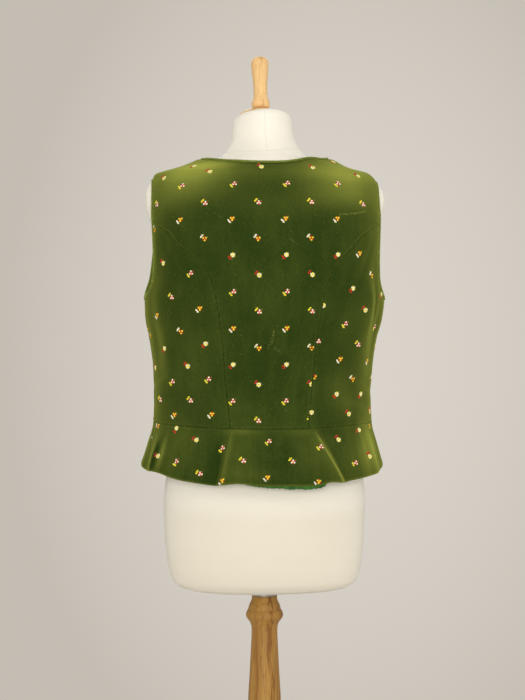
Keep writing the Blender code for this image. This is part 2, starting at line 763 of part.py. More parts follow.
def add_cap_and_knob():
    axis = bpy.data.objects.new("neck_axis", None)
    bpy.context.scene.collection.objects.link(axis)
    axis.location = CAP_AND_KNOB_AT
    axis.rotation_euler = (math.atan(NECK_TILT), math.atan(NECK_LEAN), 0.0)
    cap = turned("neck_cap", CAP_PROFILE, 24, LIGHT_WOOD)
    knob = turned("neck_knob", KNOB_PROFILE, 16, LIGHT_WOOD)
    cap.parent = axis
    knob.parent = axis
    knob.location = (0.0, 0.0, KNOB_FOOT)


def add_stand():
    turned("post_collar", COLLAR_PROFILE, 24, GREY_METAL)
    turned("stand_post", POST_PROFILE, 20, HONEY_WOOD)
    turned("stand_base", BASE_PROFILE, 40, HONEY_WOOD)


def main():
    for leftover in list(bpy.data.objects):
        bpy.data.objects.remove(leftover, do_unlink=True)
    add_back()
    add_peplum()
    add_lining()
    add_fronts()
    add_armhole_piping("armhole_piping_left", 1)
    add_armhole_piping("armhole_piping_right", -1)
    add_neck_piping()
    add_buttons()
    add_form()
    add_cap_and_knob()
    add_stand()


main()
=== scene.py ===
import math

import bpy
import numpy as np
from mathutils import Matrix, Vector


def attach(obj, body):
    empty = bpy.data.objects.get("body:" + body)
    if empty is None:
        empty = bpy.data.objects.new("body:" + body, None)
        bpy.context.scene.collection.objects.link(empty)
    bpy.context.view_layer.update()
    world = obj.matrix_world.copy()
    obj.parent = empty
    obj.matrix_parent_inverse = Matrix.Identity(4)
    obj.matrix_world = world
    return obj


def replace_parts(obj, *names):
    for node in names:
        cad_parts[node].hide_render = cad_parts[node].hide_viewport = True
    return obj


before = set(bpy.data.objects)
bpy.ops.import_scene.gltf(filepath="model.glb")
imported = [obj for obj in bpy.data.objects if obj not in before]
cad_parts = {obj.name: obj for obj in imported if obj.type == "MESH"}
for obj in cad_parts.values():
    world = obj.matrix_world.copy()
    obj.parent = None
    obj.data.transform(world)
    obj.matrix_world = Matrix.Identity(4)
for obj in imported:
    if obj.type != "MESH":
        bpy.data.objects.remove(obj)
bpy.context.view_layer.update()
bpy.ops.object.select_all(action="DESELECT")
print("frame loaded:", len(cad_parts), "nodes")


# shader helpers

class Wire:
    # a socket in plain arithmetic: each operation adds its Math node
    def __init__(self, look, socket):
        self.look, self.socket = look, socket

    def maths(self, operation, first, second=0.0):
        return self.look.node("ShaderNodeMath", {"operation": operation}, {0: first, 1: second})

    def __add__(self, other):
        return self.maths("ADD", self, other)

    def __sub__(self, other):
        return self.maths("SUBTRACT", self, other)

    def __rsub__(self, other):
        return self.maths("SUBTRACT", other, self)

    def __mul__(self, other):
        return self.maths("MULTIPLY", self, other)

    def __truediv__(self, other):
        return self.maths("DIVIDE", self, other)

    def __pow__(self, other):
        return self.maths("POWER", self, other)

    def __gt__(self, other):
        return self.maths("GREATER_THAN", self, other)

    def __abs__(self):
        return self.maths("ABSOLUTE", self)

    __radd__ = __add__
    __rmul__ = __mul__

    def sine(self):
        return self.maths("SINE", self)

    def clamped(self, low=0.0, high=1.0):
        return self.maths("MINIMUM", self.maths("MAXIMUM", self, low), high)

    def eased(self, low, high):
        t = ((self - low) / (high - low)).clamped()
        return t * t * (3 - 2 * t)


class Look:
    # one material, or the world, with its nodes added in code
    def __init__(self, name, world=None):
        self.material = world or bpy.data.materials.new(name)
        self.material.use_nodes = True
        self.tree = self.material.node_tree
        self.tree.nodes.clear()

    def node(self, kind, settings=None, sockets=None, output=0):
        made = self.tree.nodes.new(kind)
        for key, value in (settings or {}).items():
            setattr(made, key, value)
        for key, value in (sockets or {}).items():
            if isinstance(value, Wire):
                self.tree.links.new(value.socket, made.inputs[key])
            else:
                made.inputs[key].default_value = value
        return Wire(self, made.outputs[output])

    def place(self):
        return self.node("ShaderNodeTexCoord", output="Object")

    def clothPlace(self):
        return self.node("ShaderNodeUVMap", {"uv_map": "cloth"})

    def axes(self, vector):
        return [self.node("ShaderNodeSeparateXYZ", {}, {0: vector}, axis) for axis in "XYZ"]

    def scaled(self, vector, scale):
        return self.vector("MULTIPLY", vector, scale)

    def noise(self, vector, scale, detail=2.0, roughness=0.5):
        sockets = {"Vector": vector, "Scale": scale, "Detail": detail, "Roughness": roughness}
        return self.node("ShaderNodeTexNoise", {}, sockets, "Fac")

    def mixed(self, share, first, second):
        return self.node("ShaderNodeMix", {"data_type": "RGBA"}, {0: share, 6: first, 7: second}, 2)

    def attribute(self, name, output="Fac"):
        return self.node("ShaderNodeAttribute", {"attribute_name": name}, {}, output)

    def bump(self, height, distance, strength=1.0):
        return self.node("ShaderNodeBump", {}, {"Height": height, "Distance": distance, "Strength": strength})

    def vector(self, operation, *values):
        return self.node("ShaderNodeVectorMath", {"operation": operation}, dict(enumerate(values)))

    def swirl(self, vector, scale, detail):
        sockets = {"Vector": vector, "Scale": scale, "Detail": detail}
        return self.node("ShaderNodeTexNoise", {}, sockets, "Color")

    def finish(self, **sockets):
        self.output(self.principled(**sockets))
        return self.material

    def principled(self, **sockets):
        named = {key.replace("_", " "): value for key, value in sockets.items()}
        return self.node("ShaderNodeBsdfPrincipled", {}, named)

    def output(self, shader, kind="ShaderNodeOutputMaterial"):
        end = self.tree.nodes.new(kind)
        self.tree.links.new(shader.socket, end.inputs["Surface"])


def rgb(red, green, blue):
    return (red, green, blue, 1.0)


# the body's surfaces: rings that are rounded squares, read at any height

def smooth(t):
    t = np.clip(t, 0.0, 1.0)
    return t * t * (3 - 2 * t)


def hump(t):
    # a soft bump: one at nought, almost gone at two
    return np.exp(-(t ** 2))


def power(value, exponent):
    return np.copysign(np.abs(value) ** exponent, value)


class Table:
    # columns read smoothly, and never past their rows' values, against the first column
    def __init__(self, rows):
        table = np.array(rows, float)
        self.places, self.values = table[:, 0], table[:, 1:]
        steps = np.diff(self.values, axis=0) / np.diff(self.places)[:, None]
        product = steps[:-1] * steps[1:]
        total = np.where(product > 0, steps[:-1] + steps[1:], 1.0)
        inner = np.where(product > 0, 2 * product / total, 0.0)
        self.slopes = np.vstack([steps[:1], inner, steps[-1:]])

    def at(self, places):
        places = np.clip(np.asarray(places, float), self.places[0], self.places[-1])
        row = np.clip(np.searchsorted(self.places, places) - 1, 0, len(self.places) - 2)
        step = (self.places[row + 1] - self.places[row])[..., None]
        t = (places - self.places[row])[..., None] / step
        value = self.values[row] * (1 + 2 * t) * (1 - t) ** 2 + self.values[row + 1] * t * t * (3 - 2 * t)
        return value + step * (self.slopes[row] * t * (1 - t) ** 2 - self.slopes[row + 1] * t * t * (1 - t))


garment = Table([  # height, half width, back, front, centre, squareness, lean
    (0.880, 0.1895, 0.1270, 0.1235, 0.000, 2.10, 0.0035),
    (0.912, 0.1835, 0.1190, 0.1185, 0.000, 2.10, 0.0035),
    (0.950, 0.1725, 0.1040, 0.1110, 0.000, 2.15, 0.0030),
    (0.983, 0.1637, 0.0925, 0.1070, 0.000, 2.20, 0.0030),
    (1.025, 0.1622, 0.0910, 0.1085, 0.000, 2.30, 0.0030),
    (1.065, 0.1642, 0.0940, 0.1140, 0.000, 2.30, 0.0025),
    (1.105, 0.1700, 0.1000, 0.1230, 0.000, 2.30, 0.0020),
    (1.140, 0.1775, 0.1055, 0.1285, 0.000, 2.35, 0.0010),
    (1.166, 0.1792, 0.1085, 0.1270, 0.000, 2.40, 0.0000),
    (1.200, 0.1750, 0.1108, 0.1190, 0.000, 2.50, 0.0000),
    (1.250, 0.1752, 0.1110, 0.1040, 0.000, 2.50, 0.0000),
    (1.280, 0.1750, 0.1080, 0.0930, 0.000, 2.50, 0.0000),
    (1.315, 0.1725, 0.0990, 0.0835, 0.000, 2.40, 0.0000),
    (1.335, 0.1698, 0.0905, 0.0790, 0.000, 2.25, 0.0000),
    (1.345, 0.1665, 0.0860, 0.0775, -0.002, 2.15, 0.0000),
    (1.3525, 0.1587, 0.0812, 0.0760, -0.003, 2.05, 0.0000),
    (1.3635, 0.1300, 0.0738, 0.0735, -0.005, 2.00, 0.0000),
    (1.3745, 0.0965, 0.0668, 0.0710, -0.006, 2.00, 0.0000),
    (1.383, 0.0730, 0.0610, 0.0690, -0.007, 2.00, 0.0000),
])
torso = Table([  # the same columns for the dress form under it
    (0.7318, 0.1080, 0.0640, 0.0640, 0.000, 2.20, 0.0),
    (0.7372, 0.1265, 0.0800, 0.0790, 0.000, 2.20, 0.0),
    (0.7480, 0.1385, 0.0900, 0.0880, 0.000, 2.20, 0.0),
    (0.7700, 0.1448, 0.0955, 0.0925, 0.000, 2.20, 0.0),
    (0.8100, 0.1490, 0.0985, 0.0955, 0.000, 2.20, 0.0),
    (0.8600, 0.1508, 0.0985, 0.0965, 0.000, 2.20, 0.0),
    (0.9000, 0.1478, 0.0935, 0.0940, 0.000, 2.20, 0.0),
    (0.9400, 0.1395, 0.0840, 0.0890, 0.000, 2.20, 0.0),
    (0.9850, 0.1270, 0.0725, 0.0830, 0.000, 2.20, 0.0),
    (1.0300, 0.1290, 0.0745, 0.0860, 0.000, 2.20, 0.0),
    (1.0700, 0.1390, 0.0830, 0.0960, 0.000, 2.20, 0.0),
    (1.1100, 0.1520, 0.0930, 0.1120, 0.000, 2.20, 0.0),
    (1.1450, 0.1600, 0.0995, 0.1210, 0.000, 2.20, 0.0),
    (1.1800, 0.1590, 0.1045, 0.1170, 0.000, 2.20, 0.0),
    (1.2200, 0.1555, 0.1065, 0.1060, 0.000, 2.20, 0.0),
    (1.2600, 0.1590, 0.1055, 0.0920, 0.000, 2.20, 0.0),
    (1.2900, 0.1630, 0.1005, 0.0840, 0.000, 2.20, 0.0),
    (1.3180, 0.1655, 0.0930, 0.0780, 0.000, 2.15, 0.0),
    (1.3330, 0.1660, 0.0865, 0.0750, -0.001, 2.10, 0.0),
    (1.3410, 0.1645, 0.0830, 0.0740, -0.002, 2.05, 0.0),
    (1.3452, 0.1612, 0.0800, 0.0730, -0.002, 2.00, 0.0),
    (1.3502, 0.1558, 0.0768, 0.0720, -0.003, 2.00, 0.0),
    (1.3604, 0.1286, 0.0702, 0.0695, -0.005, 2.00, 0.0),
    (1.3711, 0.0957, 0.0635, 0.0670, -0.006, 2.00, 0.0),
    (1.3782, 0.0672, 0.0555, 0.0650, -0.008, 2.00, 0.0),
    (1.3930, 0.0530, 0.0425, 0.0645, -0.012, 2.00, 0.0),
    (1.4080, 0.0472, 0.0345, 0.0640, -0.015, 2.00, 0.0),
    (1.4250, 0.0454, 0.0310, 0.0630, -0.016, 2.00, 0.0),
    (1.4345, 0.0438, 0.0288, 0.0605, -0.016, 2.00, 0.0),
    (1.4398, 0.0404, 0.0252, 0.0565, -0.016, 2.00, 0.0),
    (1.4430, 0.0354, 0.0202, 0.0515, -0.016, 2.00, 0.0),
    (1.4444, 0.0300, 0.0150, 0.0465, -0.016, 2.00, 0.0),
])

cut = {  # heights and widths of the waistcoat's cut, in metres
    "waistSide": 0.983,
    "waistDip": 0.0075,
    "hemSide": 0.919,
    "hemBackDip": 0.023,
    "hemFrontDip": 0.012,
    "neckPoint": 1.3745,
    "neckBackDip": 0.0115,
    "neckRaised": (124, 16, 0.0042),  # where the right side sits higher: angle, half width in degrees, rise
    "neckFront": 1.195,
    "shoulderTip": 1.345,
    "princessTop": 1.277,
    "princessWider": (1.2455, 0.016, 0.0088),  # height, half height, how much wider the left one runs there
    "armholeBottom": 1.164,
    "armholeWidest": 1.235,
    "armholeBack": 0.044,
    "armholeFront": 0.055,
    "armholeRound": 2.2,
    "overlap": 0.010,
    "seamGap": 0.0004,
    "velvet": 0.0014,
    "lapGap": 0.0006,
}
princess = Table([  # height, distance of the back's curved seam from the centre line
    (0.960, 0.0553), (0.980, 0.0568), (1.035, 0.0622), (1.104, 0.0688), (1.150, 0.0755),
    (1.185, 0.0830), (1.208, 0.0940), (1.232, 0.1135), (1.256, 0.1360), (1.277, 0.1655),
])
sideSeam = Table([  # height, depth of the side seam behind the side line
    (0.880, 0.040), (0.912, 0.035), (0.950, 0.024), (0.983, 0.014), (1.060, 0.010), (1.164, 0.010),
])


def sectionPoint(body, angles, heights):
    angles, heights = np.broadcast_arrays(np.asarray(angles, float), np.asarray(heights, float))
    halfWidth, back, front, centre, squareness, lean = np.moveaxis(body.at(heights), -1, 0)
    across, along = np.cos(angles), np.sin(angles)
    depth = np.where(along >= 0, back - centre, front + centre)
    x = (halfWidth + np.copysign(lean, across)) * power(across, 2 / squareness)
    return np.stack([x, centre + depth * power(along, 2 / squareness), heights], -1)


def slopesAt(body, angles, heights):
    turn, rise = 0.01, 0.0005
    across = sectionPoint(body, angles + turn, heights) - sectionPoint(body, angles - turn, heights)
    upward = sectionPoint(body, angles, heights + rise) - sectionPoint(body, angles, heights - rise)
    return across / (2 * turn), upward / (2 * rise)


def normalAt(body, angles, heights):
    across, upward = slopesAt(body, angles, heights)
    normal = np.cross(across, upward)
    return normal / np.linalg.norm(normal, axis=-1, keepdims=True)


# folds and creases of the cloth

flutes = [  # angle at the waist and at the hem, width before and after in degrees, rise, sharpness
    (8.0, 13.0, 5.0, 5.0, -0.0040, 2.0),
    (16.5, 19.0, 2.6, 2.8, -0.0022, 2.0),
    (24.0, 26.0, 7.0, 7.0, 0.0040, 2.0),
    (44.0, 44.0, 6.0, 6.0, 0.0012, 2.0),
    (67.2, 65.8, 4.6, 2.6, -0.0050, 1.8),
    (74.0, 70.9, 2.4, 8.5, 0.0066, 1.4),
    (86.0, 84.0, 5.0, 6.0, -0.0010, 2.0),
    (94.0, 96.0, 9.0, 9.0, -0.0020, 2.0),
    (110.3, 119.6, 9.5, 2.3, 0.0088, 1.4),
    (115.4, 124.6, 2.8, 4.2, -0.0042, 1.8),
    (136.0, 139.0, 4.0, 4.5, 0.0012, 2.0),
    (152.0, 152.0, 6.0, 5.0, 0.0036, 2.0),
    (160.0, 158.0, 2.6, 3.0, -0.0016, 2.0),
    (170.0, 166.0, 5.0, 5.0, -0.0030, 2.0),
]
bodyCreases = [  # angle, height, width in degrees, length, depth
    (20.0, 1.120, 7.0, 0.050, -0.0030),
    (160.0, 1.125, 6.0, 0.055, -0.0035),
    (148.0, 1.110, 6.0, 0.050, 0.0022),
    (33.0, 1.085, 7.0, 0.045, 0.0020),
    (-28.0, 1.060, 7.0, 0.060, -0.0030),
    (208.0, 1.065, 7.0, 0.060, -0.0030),
    (152.0, 1.150, 3.6, 0.042, -0.0024),
    (144.5, 1.140, 3.4, 0.050, 0.0016),
    (0.0, 1.3655, 38.0, 0.0060, -0.0013),
    (180.0, 1.3660, 38.0, 0.0065, -0.0017),
    (0.0, 1.3500, 30.0, 0.0045, 0.0022),
    (180.0, 1.3545, 26.0, 0.0045, 0.0012),
    (166.0, 1.3715, 16.0, 0.0050, 0.0028),
]
slantCreases = [  # angle, height, slant in degrees, half length, half width, depth: soft drag lines
    (118.0, 1.262, 38.0, 0.050, 0.0060, -0.0007),
    (66.0, 1.285, -32.0, 0.045, 0.0070, -0.0007),
    (128.0, 1.292, -6.0, 0.028, 0.0030, 0.0006),
    (140.0, 1.215, 62.0, 0.040, 0.0065, -0.0009),
    (46.0, 1.205, -58.0, 0.042, 0.0070, -0.0009),
    (30.0, 1.020, 12.0, 0.035, 0.0060, -0.0010),
    (151.0, 1.012, -15.0, 0.032, 0.0055, -0.0011),
    (163.0, 1.035, -24.0, 0.030, 0.0060, -0.0009),
    (14.0, 1.046, 22.0, 0.034, 0.0055, -0.0009),
    (84.0, 1.000, 4.0, 0.045, 0.0050, 0.0008),
    (103.0, 1.052, 74.0, 0.050, 0.0080, 0.0007),
    (76.0, 1.120, 80.0, 0.060, 0.0090, -0.0006),
    (-40.0, 1.190, -52.0, 0.045, 0.0080, -0.0010),
    (221.0, 1.186, 49.0, 0.048, 0.0075, -0.0011),
    (-18.0, 1.128, -35.0, 0.036, 0.0060, -0.0010),
    (199.0, 1.122, 31.0, 0.038, 0.0060, -0.0010),
    (-62.0, 1.020, 18.0, 0.040, 0.0065, -0.0008),
    (243.0, 1.028, -22.0, 0.038, 0.0070, -0.0008),
    (-48.0, 0.952, 84.0, 0.050, 0.0110, 0.0016),
    (-22.0, 0.950, 86.0, 0.046, 0.0090, -0.0016),
    (228.0, 0.950, 95.0, 0.048, 0.0100, 0.0014),
    (203.0, 0.952, 92.0, 0.046, 0.0095, -0.0018),
]

hemWaves = [  # angle, half width in degrees, lift
    (31.0, 11.0, 0.0044), (62.0, 7.0, -0.0010), (69.5, 3.5, -0.0016), (78.0, 6.0, 0.0018),
    (110.0, 8.0, -0.0020), (117.0, 3.6, 0.0014), (123.5, 4.5, -0.0020),
]
# on top of each shoulder the velvet comes up level with its neck cord
shoulderEdge = {"rise": 0.0012, "degrees": 17, "drop": 0.0065}
unevenness = 0.00013  # hand-worn waviness all over


def hemHeight(angles):
    degrees = np.degrees(angles)
    waves = sum(lift * hump((degrees - angle) / width) for angle, width, lift in hemWaves)
    dip = np.where(np.sin(angles) > 0, cut["hemBackDip"], cut["hemFrontDip"])
    return cut["hemSide"] - dip * np.abs(np.sin(angles)) + waves


def waistHeight(angles):
    return cut["waistSide"] - cut["waistDip"] * np.clip(np.sin(angles), 0, 1) ** 2


def neckHeight(angles):
    middle, width, rise = cut["neckRaised"]
    raised = rise * hump((np.degrees(angles) - middle) / width)
    return cut["neckPoint"] - cut["neckBackDip"] * np.clip(np.sin(angles), 0, 1) ** 2.5 + raised


def peplumShare(heights):
    # nought at the waist seam, one at the hem
    return (cut["waistSide"] - heights) / (cut["waistSide"] - cut["hemSide"])


def fromLine(degrees, share, top, hem, before, after):
    # how many widths away from a line that leans from the waist to the hem
    away = degrees - (top + (hem - top) * share)
    return np.where(away < 0, away / before, away / after)


def fluteShape(angles, heights):
    degrees = np.degrees(angles)
    total = np.zeros(np.broadcast(angles, heights).shape)
    share = peplumShare(heights)
    opened = 0.65 * smooth(share / 1.2) + 0.35 * np.clip(share * 1.6, 0, 1.2)
    opened = np.where((degrees > -5) & (degrees < 185), opened, 0.0)
    for top, hem, before, after, rise, sharpness in flutes:
        away = np.abs(fromLine(degrees, share, top, hem, before, after))
        total = total + rise * opened * np.exp(-(away ** sharpness))
    return total


def neckRise(angles, heights):
    fromTop = np.abs((np.degrees(angles) + 90) % 180 - 90) / shoulderEdge["degrees"]
    below = (cut["neckPoint"] - heights) / shoulderEdge["drop"]
    return shoulderEdge["rise"] * hump(fromTop) * hump(below)


def relief(angles, heights):
    degrees = np.degrees(angles)
    total = fluteShape(angles, heights) + neckRise(angles, heights)
    for angle, height, width, length, depth in bodyCreases:
        total = total + depth * hump((degrees - angle) / width) * hump((heights - height) / length)
    for angle, height, slant, length, width, depth in slantCreases:
        radius = float(np.linalg.norm(slopesAt(garment, math.radians(angle), height)[0]))
        u, v = np.radians(degrees - angle) * radius, heights - height
        turn = math.radians(slant)
        along, across = u * math.cos(turn) + v * math.sin(turn), v * math.cos(turn) - u * math.sin(turn)
        total = total + depth * hump(along / length) * hump(across / width)
    waves = np.sin(angles * 11 + heights * 37) + np.sin(angles * 17.3 - heights * 61 + 1.3)
    return total + unevenness * (waves + np.sin(heights * 93 + angles * 5))


paintedLightAndNapPatches = [  # angle, height, half width in degrees, half height, how much lighter: painted highlights on the shoulders, painted light and shade over the back and peplum, and the pile's own brushed patches
    (44.0, 1.349, 24.0, 0.014, 0.40),
    (48.0, 1.328, 24.0, 0.022, 0.22),
    (48.0, 1.361, 18.0, 0.0075, 0.41),
    (133.0, 1.349, 24.0, 0.015, 0.43),
    (130.0, 1.322, 18.0, 0.022, 0.26),
    (88.0, 1.350, 14.0, 0.012, 0.030),
    (88.0, 1.300, 16.0, 0.022, 0.035),
    (112.0, 1.318, 10.0, 0.020, 0.060),
    (40.0, 1.308, 12.0, 0.018, 0.030),
    (129.0, 1.034, 9.0, 0.030, 0.075),
    (34.0, 1.095, 15.0, 0.070, 0.005),
    (28.0, 1.240, 6.0, 0.030, -0.045),
    (22.0, 1.035, 7.0, 0.030, -0.025),
    (55.0, 1.145, 9.0, 0.050, 0.022),
    (83.0, 1.150, 10.0, 0.050, -0.016),
    (100.0, 1.150, 7.0, 0.050, -0.022),
    (104.0, 1.305, 8.0, 0.020, 0.022),
    (128.0, 1.120, 7.0, 0.035, 0.026),
    (94.0, 1.003, 9.0, 0.016, -0.018),
    (156.0, 1.035, 5.0, 0.030, -0.025),
    (52.0, 1.040, 10.0, 0.040, 0.04),
    (146.0, 1.120, 7.0, 0.050, 0.11),
    (153.0, 1.145, 4.0, 0.035, -0.08),
    (150.0, 1.040, 11.0, 0.050, 0.06),
    (135.0, 1.010, 7.0, 0.016, 0.07),
    (86.0, 1.004, 30.0, 0.012, 0.012),
    (77.0, 0.9715, 7.5, 0.0045, 0.10),
    (106.0, 0.9705, 8.0, 0.0045, 0.05),
    (31.5, 0.938, 1.8, 0.022, 0.24),
    (25.8, 0.931, 2.2, 0.020, -0.22),
    (46.0, 0.955, 12.0, 0.030, 0.045),
    (78.0, 0.935, 9.0, 0.040, 0.030),
    (67.6, 0.915, 2.4, 0.024, -0.10),
    (57.0, 0.915, 3.5, 0.020, 0.02),
    (108.0, 0.940, 8.0, 0.030, 0.05),
    (134.0, 0.940, 6.0, 0.034, 0.075),
    (146.0, 0.945, 3.0, 0.030, 0.12),
    (154.0, 0.945, 7.0, 0.034, 0.40),
    (143.0, 0.935, 5.0, 0.026, 0.12),
    (166.0, 0.935, 4.0, 0.025, 0.08),
    (82.0, 0.912, 14.0, 0.010, 0.04),
]
# painted highlights along the crests of the peplum's folds
paintedCrestHighlights = [  # angle at the waist and at the hem, width before and after in degrees, strength
    (73.5, 70.2, 0.5, 1.6, 0.10),
    (110.6, 120.8, 1.0, 0.45, 0.30),
    (110.6, 120.8, 5.0, 0.6, 0.07),
    (116.8, 126.6, 3.2, 4.0, 0.055),
]
# painted light and shade on the pile, and the pile's own streaks
paintedLightAndNap = {
    # painted highlight on fold crests, painted shade in fold valleys
    "crests": 5, "valleys": 8,  # how much a metre of fold adds or takes
    "streaksBelow": 0.975, "streaks": 0.005, "sideStreaks": (150, 11, 0.038),
    # painted shadow under the neck cord
    "paintedShadowUnderCord": (0.0007, 0.0014, -0.24),  # how far under the neckline, half height, strength
    # painted highlight along the hem's rolled edge
    "paintedHemHighlight": (0.0012, 0.20),
}


def paintedLightAndNapAt(angles, heights):
    # painted light and shade on the pile: painted highlights on the fold crests, the shoulders and the hem's
    # edge, painted shade in the valleys and under the neck cord, and the pile's own brushed patches and streaks
    degrees = np.degrees(angles)
    folds = fluteShape(angles, heights)
    # painted highlight on the crests of the folds, painted shade in their valleys
    total = np.where(folds > 0, folds * paintedLightAndNap["crests"], folds * paintedLightAndNap["valleys"])
    share = peplumShare(heights)
    seen = np.clip((share - 0.16) * 5, 0, 1)
    for top, hem, before, after, strength in paintedCrestHighlights:
        total = total + strength * seen * hump(fromLine(degrees, share, top, hem, before, after))
    for angle, height, width, tall, amount in paintedLightAndNapPatches:
        total = total + amount * hump((degrees - angle) / width) * hump((heights - height) / tall)
    streaks = np.sin(degrees * 1.7 + 1.0) * np.sin(degrees * 0.61 + heights * 9)
    streaks = streaks + 0.5 * np.sin(degrees * 3.1 - heights * 14)
    side, width, more = paintedLightAndNap["sideStreaks"]
    lower = smooth((paintedLightAndNap["streaksBelow"] - heights) / 0.02)
    total = total + lower * streaks * (paintedLightAndNap["streaks"] + more * hump((degrees - side) / width))
    # painted shadow under the neck cord on the back
    below, width, amount = paintedLightAndNap["paintedShadowUnderCord"]
    paintedShadowUnderCord = hump((neckHeight(angles) - heights - below) / width)
    total = total + amount * np.clip(np.sin(angles), 0, 1) ** 0.5 * paintedShadowUnderCord
    # painted highlight along the hem
    width, amount = paintedLightAndNap["paintedHemHighlight"]
    return total + amount * hump((heights - hemHeight(angles)) / width)


def clothPoint(angles, heights, lift=0.0):
    away = (relief(angles, heights) + lift)[..., None]
    return sectionPoint(garment, angles, heights) + normalAt(garment, angles, heights) * away


# edges of the cut pieces, as angles on the left half

def angleAtDepth(heights, depths):
    _, back, front, centre, squareness, _ = np.moveaxis(garment.at(heights), -1, 0)
    reach = np.where(depths >= centre, back - centre, front + centre)
    return np.arcsin(power(np.clip((depths - centre) / reach, -1, 1), squareness / 2))


def angleAtWidth(side, heights, widths):
    halfWidth, _, _, _, squareness, lean = np.moveaxis(garment.at(heights), -1, 0)
    return np.arccos(power(np.clip(widths / (halfWidth + side * lean), -1, 1), squareness / 2))


def onSide(side, angles):
    return angles if side > 0 else math.pi - angles


def armholeUpright(isUpper):
    # how far the armhole reaches up or down from its widest place
    upper, lower = cut["shoulderTip"] - cut["armholeWidest"], cut["armholeWidest"] - cut["armholeBottom"]
    return np.where(isUpper, upper, lower)


def armholeReach(heights):
    above = heights - cut["armholeWidest"]
    share = np.clip(np.abs(above) / armholeUpright(above > 0), 0, 1)
    return (1 - share ** cut["armholeRound"]) ** (1 / cut["armholeRound"])


def armholeHeights(turns):
    # heights round the armhole's oval, from its bottom at no turn to its top at half a turn
    up = power(np.cos(turns), 2 / cut["armholeRound"])
    return cut["armholeWidest"] - armholeUpright(np.cos(turns) <= 0) * up


def armholeMiddle(heights):
    share = (heights - cut["armholeBottom"]) / (cut["shoulderTip"] - cut["armholeBottom"])
    low = sideSeam.at(cut["armholeBottom"])[..., 0]
    return low + (garment.at(cut["shoulderTip"])[..., 3] - low) * share


def outerEdge(heights, back):
    # side seam, then armhole, then the shoulder's ridge
    half = cut["seamGap"] / 2 * (1 if back else -1)
    reach = cut["armholeBack"] if back else -cut["armholeFront"]
    seam = sideSeam.at(heights)[..., 0]
    hole = armholeMiddle(heights) + reach * armholeReach(heights)
    ridge = garment.at(heights)[..., 3]
    depth = np.where(heights < cut["shoulderTip"], hole, ridge)
    depth = np.where(heights <= cut["armholeBottom"], seam, depth)
    return angleAtDepth(heights, depth + half)


def princessAngle(side, heights, move):
    middle, half, most = cut["princessWider"]
    wider = most * hump((heights - middle) / half) if side > 0 else 0.0
    return angleAtWidth(side, heights, princess.at(heights)[..., 0] + wider + move)


def necklineWidth(heights):
    drop = np.clip((cut["neckPoint"] - heights) / (cut["neckPoint"] - cut["neckFront"]), 0, None)
    start = garment.at(cut["neckPoint"])[..., 0]
    return start - (start + cut["overlap"]) * drop ** (2 / 3)


def frontInnerEdge(side, heights):
    width = np.where(heights > cut["neckFront"], necklineWidth(heights), -cut["overlap"])
    tip = np.where(heights >= cut["shoulderTip"], outerEdge(heights, False) - math.radians(2.0), 0.0)
    return np.minimum(-angleAtWidth(side, heights, width), tip)


def settled(angles, heights):
    # rows bend to the hem, the waist seam and the back neckline
    share = (heights - cut["hemSide"]) / (cut["waistSide"] - cut["hemSide"])
    below = hemHeight(angles) + (waistHeight(angles) - hemHeight(angles)) * share
    waistShare = 1 - smooth((heights - cut["waistSide"]) / 0.12)
    neckShare = smooth(1 - (cut["neckPoint"] - heights) / 0.07)
    above = heights + (waistHeight(angles) - cut["waistSide"]) * waistShare
    above = above + (neckHeight(angles) - cut["neckPoint"]) * neckShare
    return np.where(heights <= cut["waistSide"], below, above)


# mesh helpers

nearEdge = np.array([0.0, 0.0006, 0.0013, 0.0022, 0.0034, 0.0050, 0.0072, 0.0100])


def edgeSpaced(length, count):
    # distances along a length, close together near both ends
    near = nearEdge * min(1.0, length / 0.06)
    middle = np.linspace(near[-1], length - near[-1], count + 2)[1:-1]
    return np.concatenate([near, middle, (length - near)[::-1]])


def signedVolume(points, faces):
    # six times the space that the faces close in, below nought where they face inwards
    corners = np.array([(face[0], face[k], face[k + 1]) for face in faces for k in range(1, len(face) - 1)])
    first, second, third = np.moveaxis(points[corners], 1, 0)
    return np.einsum("ij,ij->", first, np.cross(second, third))


def meshObject(name, points, faces, material, uv=None, values=None, colours=None):
    points = np.asarray(points, float)
    order = 1 if signedVolume(points, faces) > 0 else -1
    mesh = bpy.data.meshes.new(name)
    mesh.from_pydata(points.tolist(), [], [tuple(int(corner) for corner in face[::order]) for face in faces])
    if uv is not None:
        corners = np.empty(len(mesh.loops), np.int32)
        mesh.loops.foreach_get("vertex_index", corners)
        mesh.uv_layers.new(name="cloth").data.foreach_set("uv", uv[corners].astype(np.float32).ravel())
    for key, value in (values or {}).items():
        mesh.attributes.new(key, "FLOAT", "POINT").data.foreach_set("value", value.astype(np.float32))
    if colours is not None:
        own = mesh.attributes.new("thread", "FLOAT_COLOR", "POINT")
        own.data.foreach_set("color", colours.astype(np.float32).ravel())
    mesh.shade_smooth()
    mesh.materials.append(material)
    made = bpy.data.objects.new(name, mesh)
    bpy.context.scene.collection.objects.link(made)
    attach(made, "root")
    return made


def gridQuads(index, wrap=False):
    if wrap:
        index = np.concatenate([index, index[:, :1]], 1)
    return np.stack([index[:-1, :-1], index[:-1, 1:], index[1:, 1:], index[1:, :-1]], -1).reshape(-1, 4)


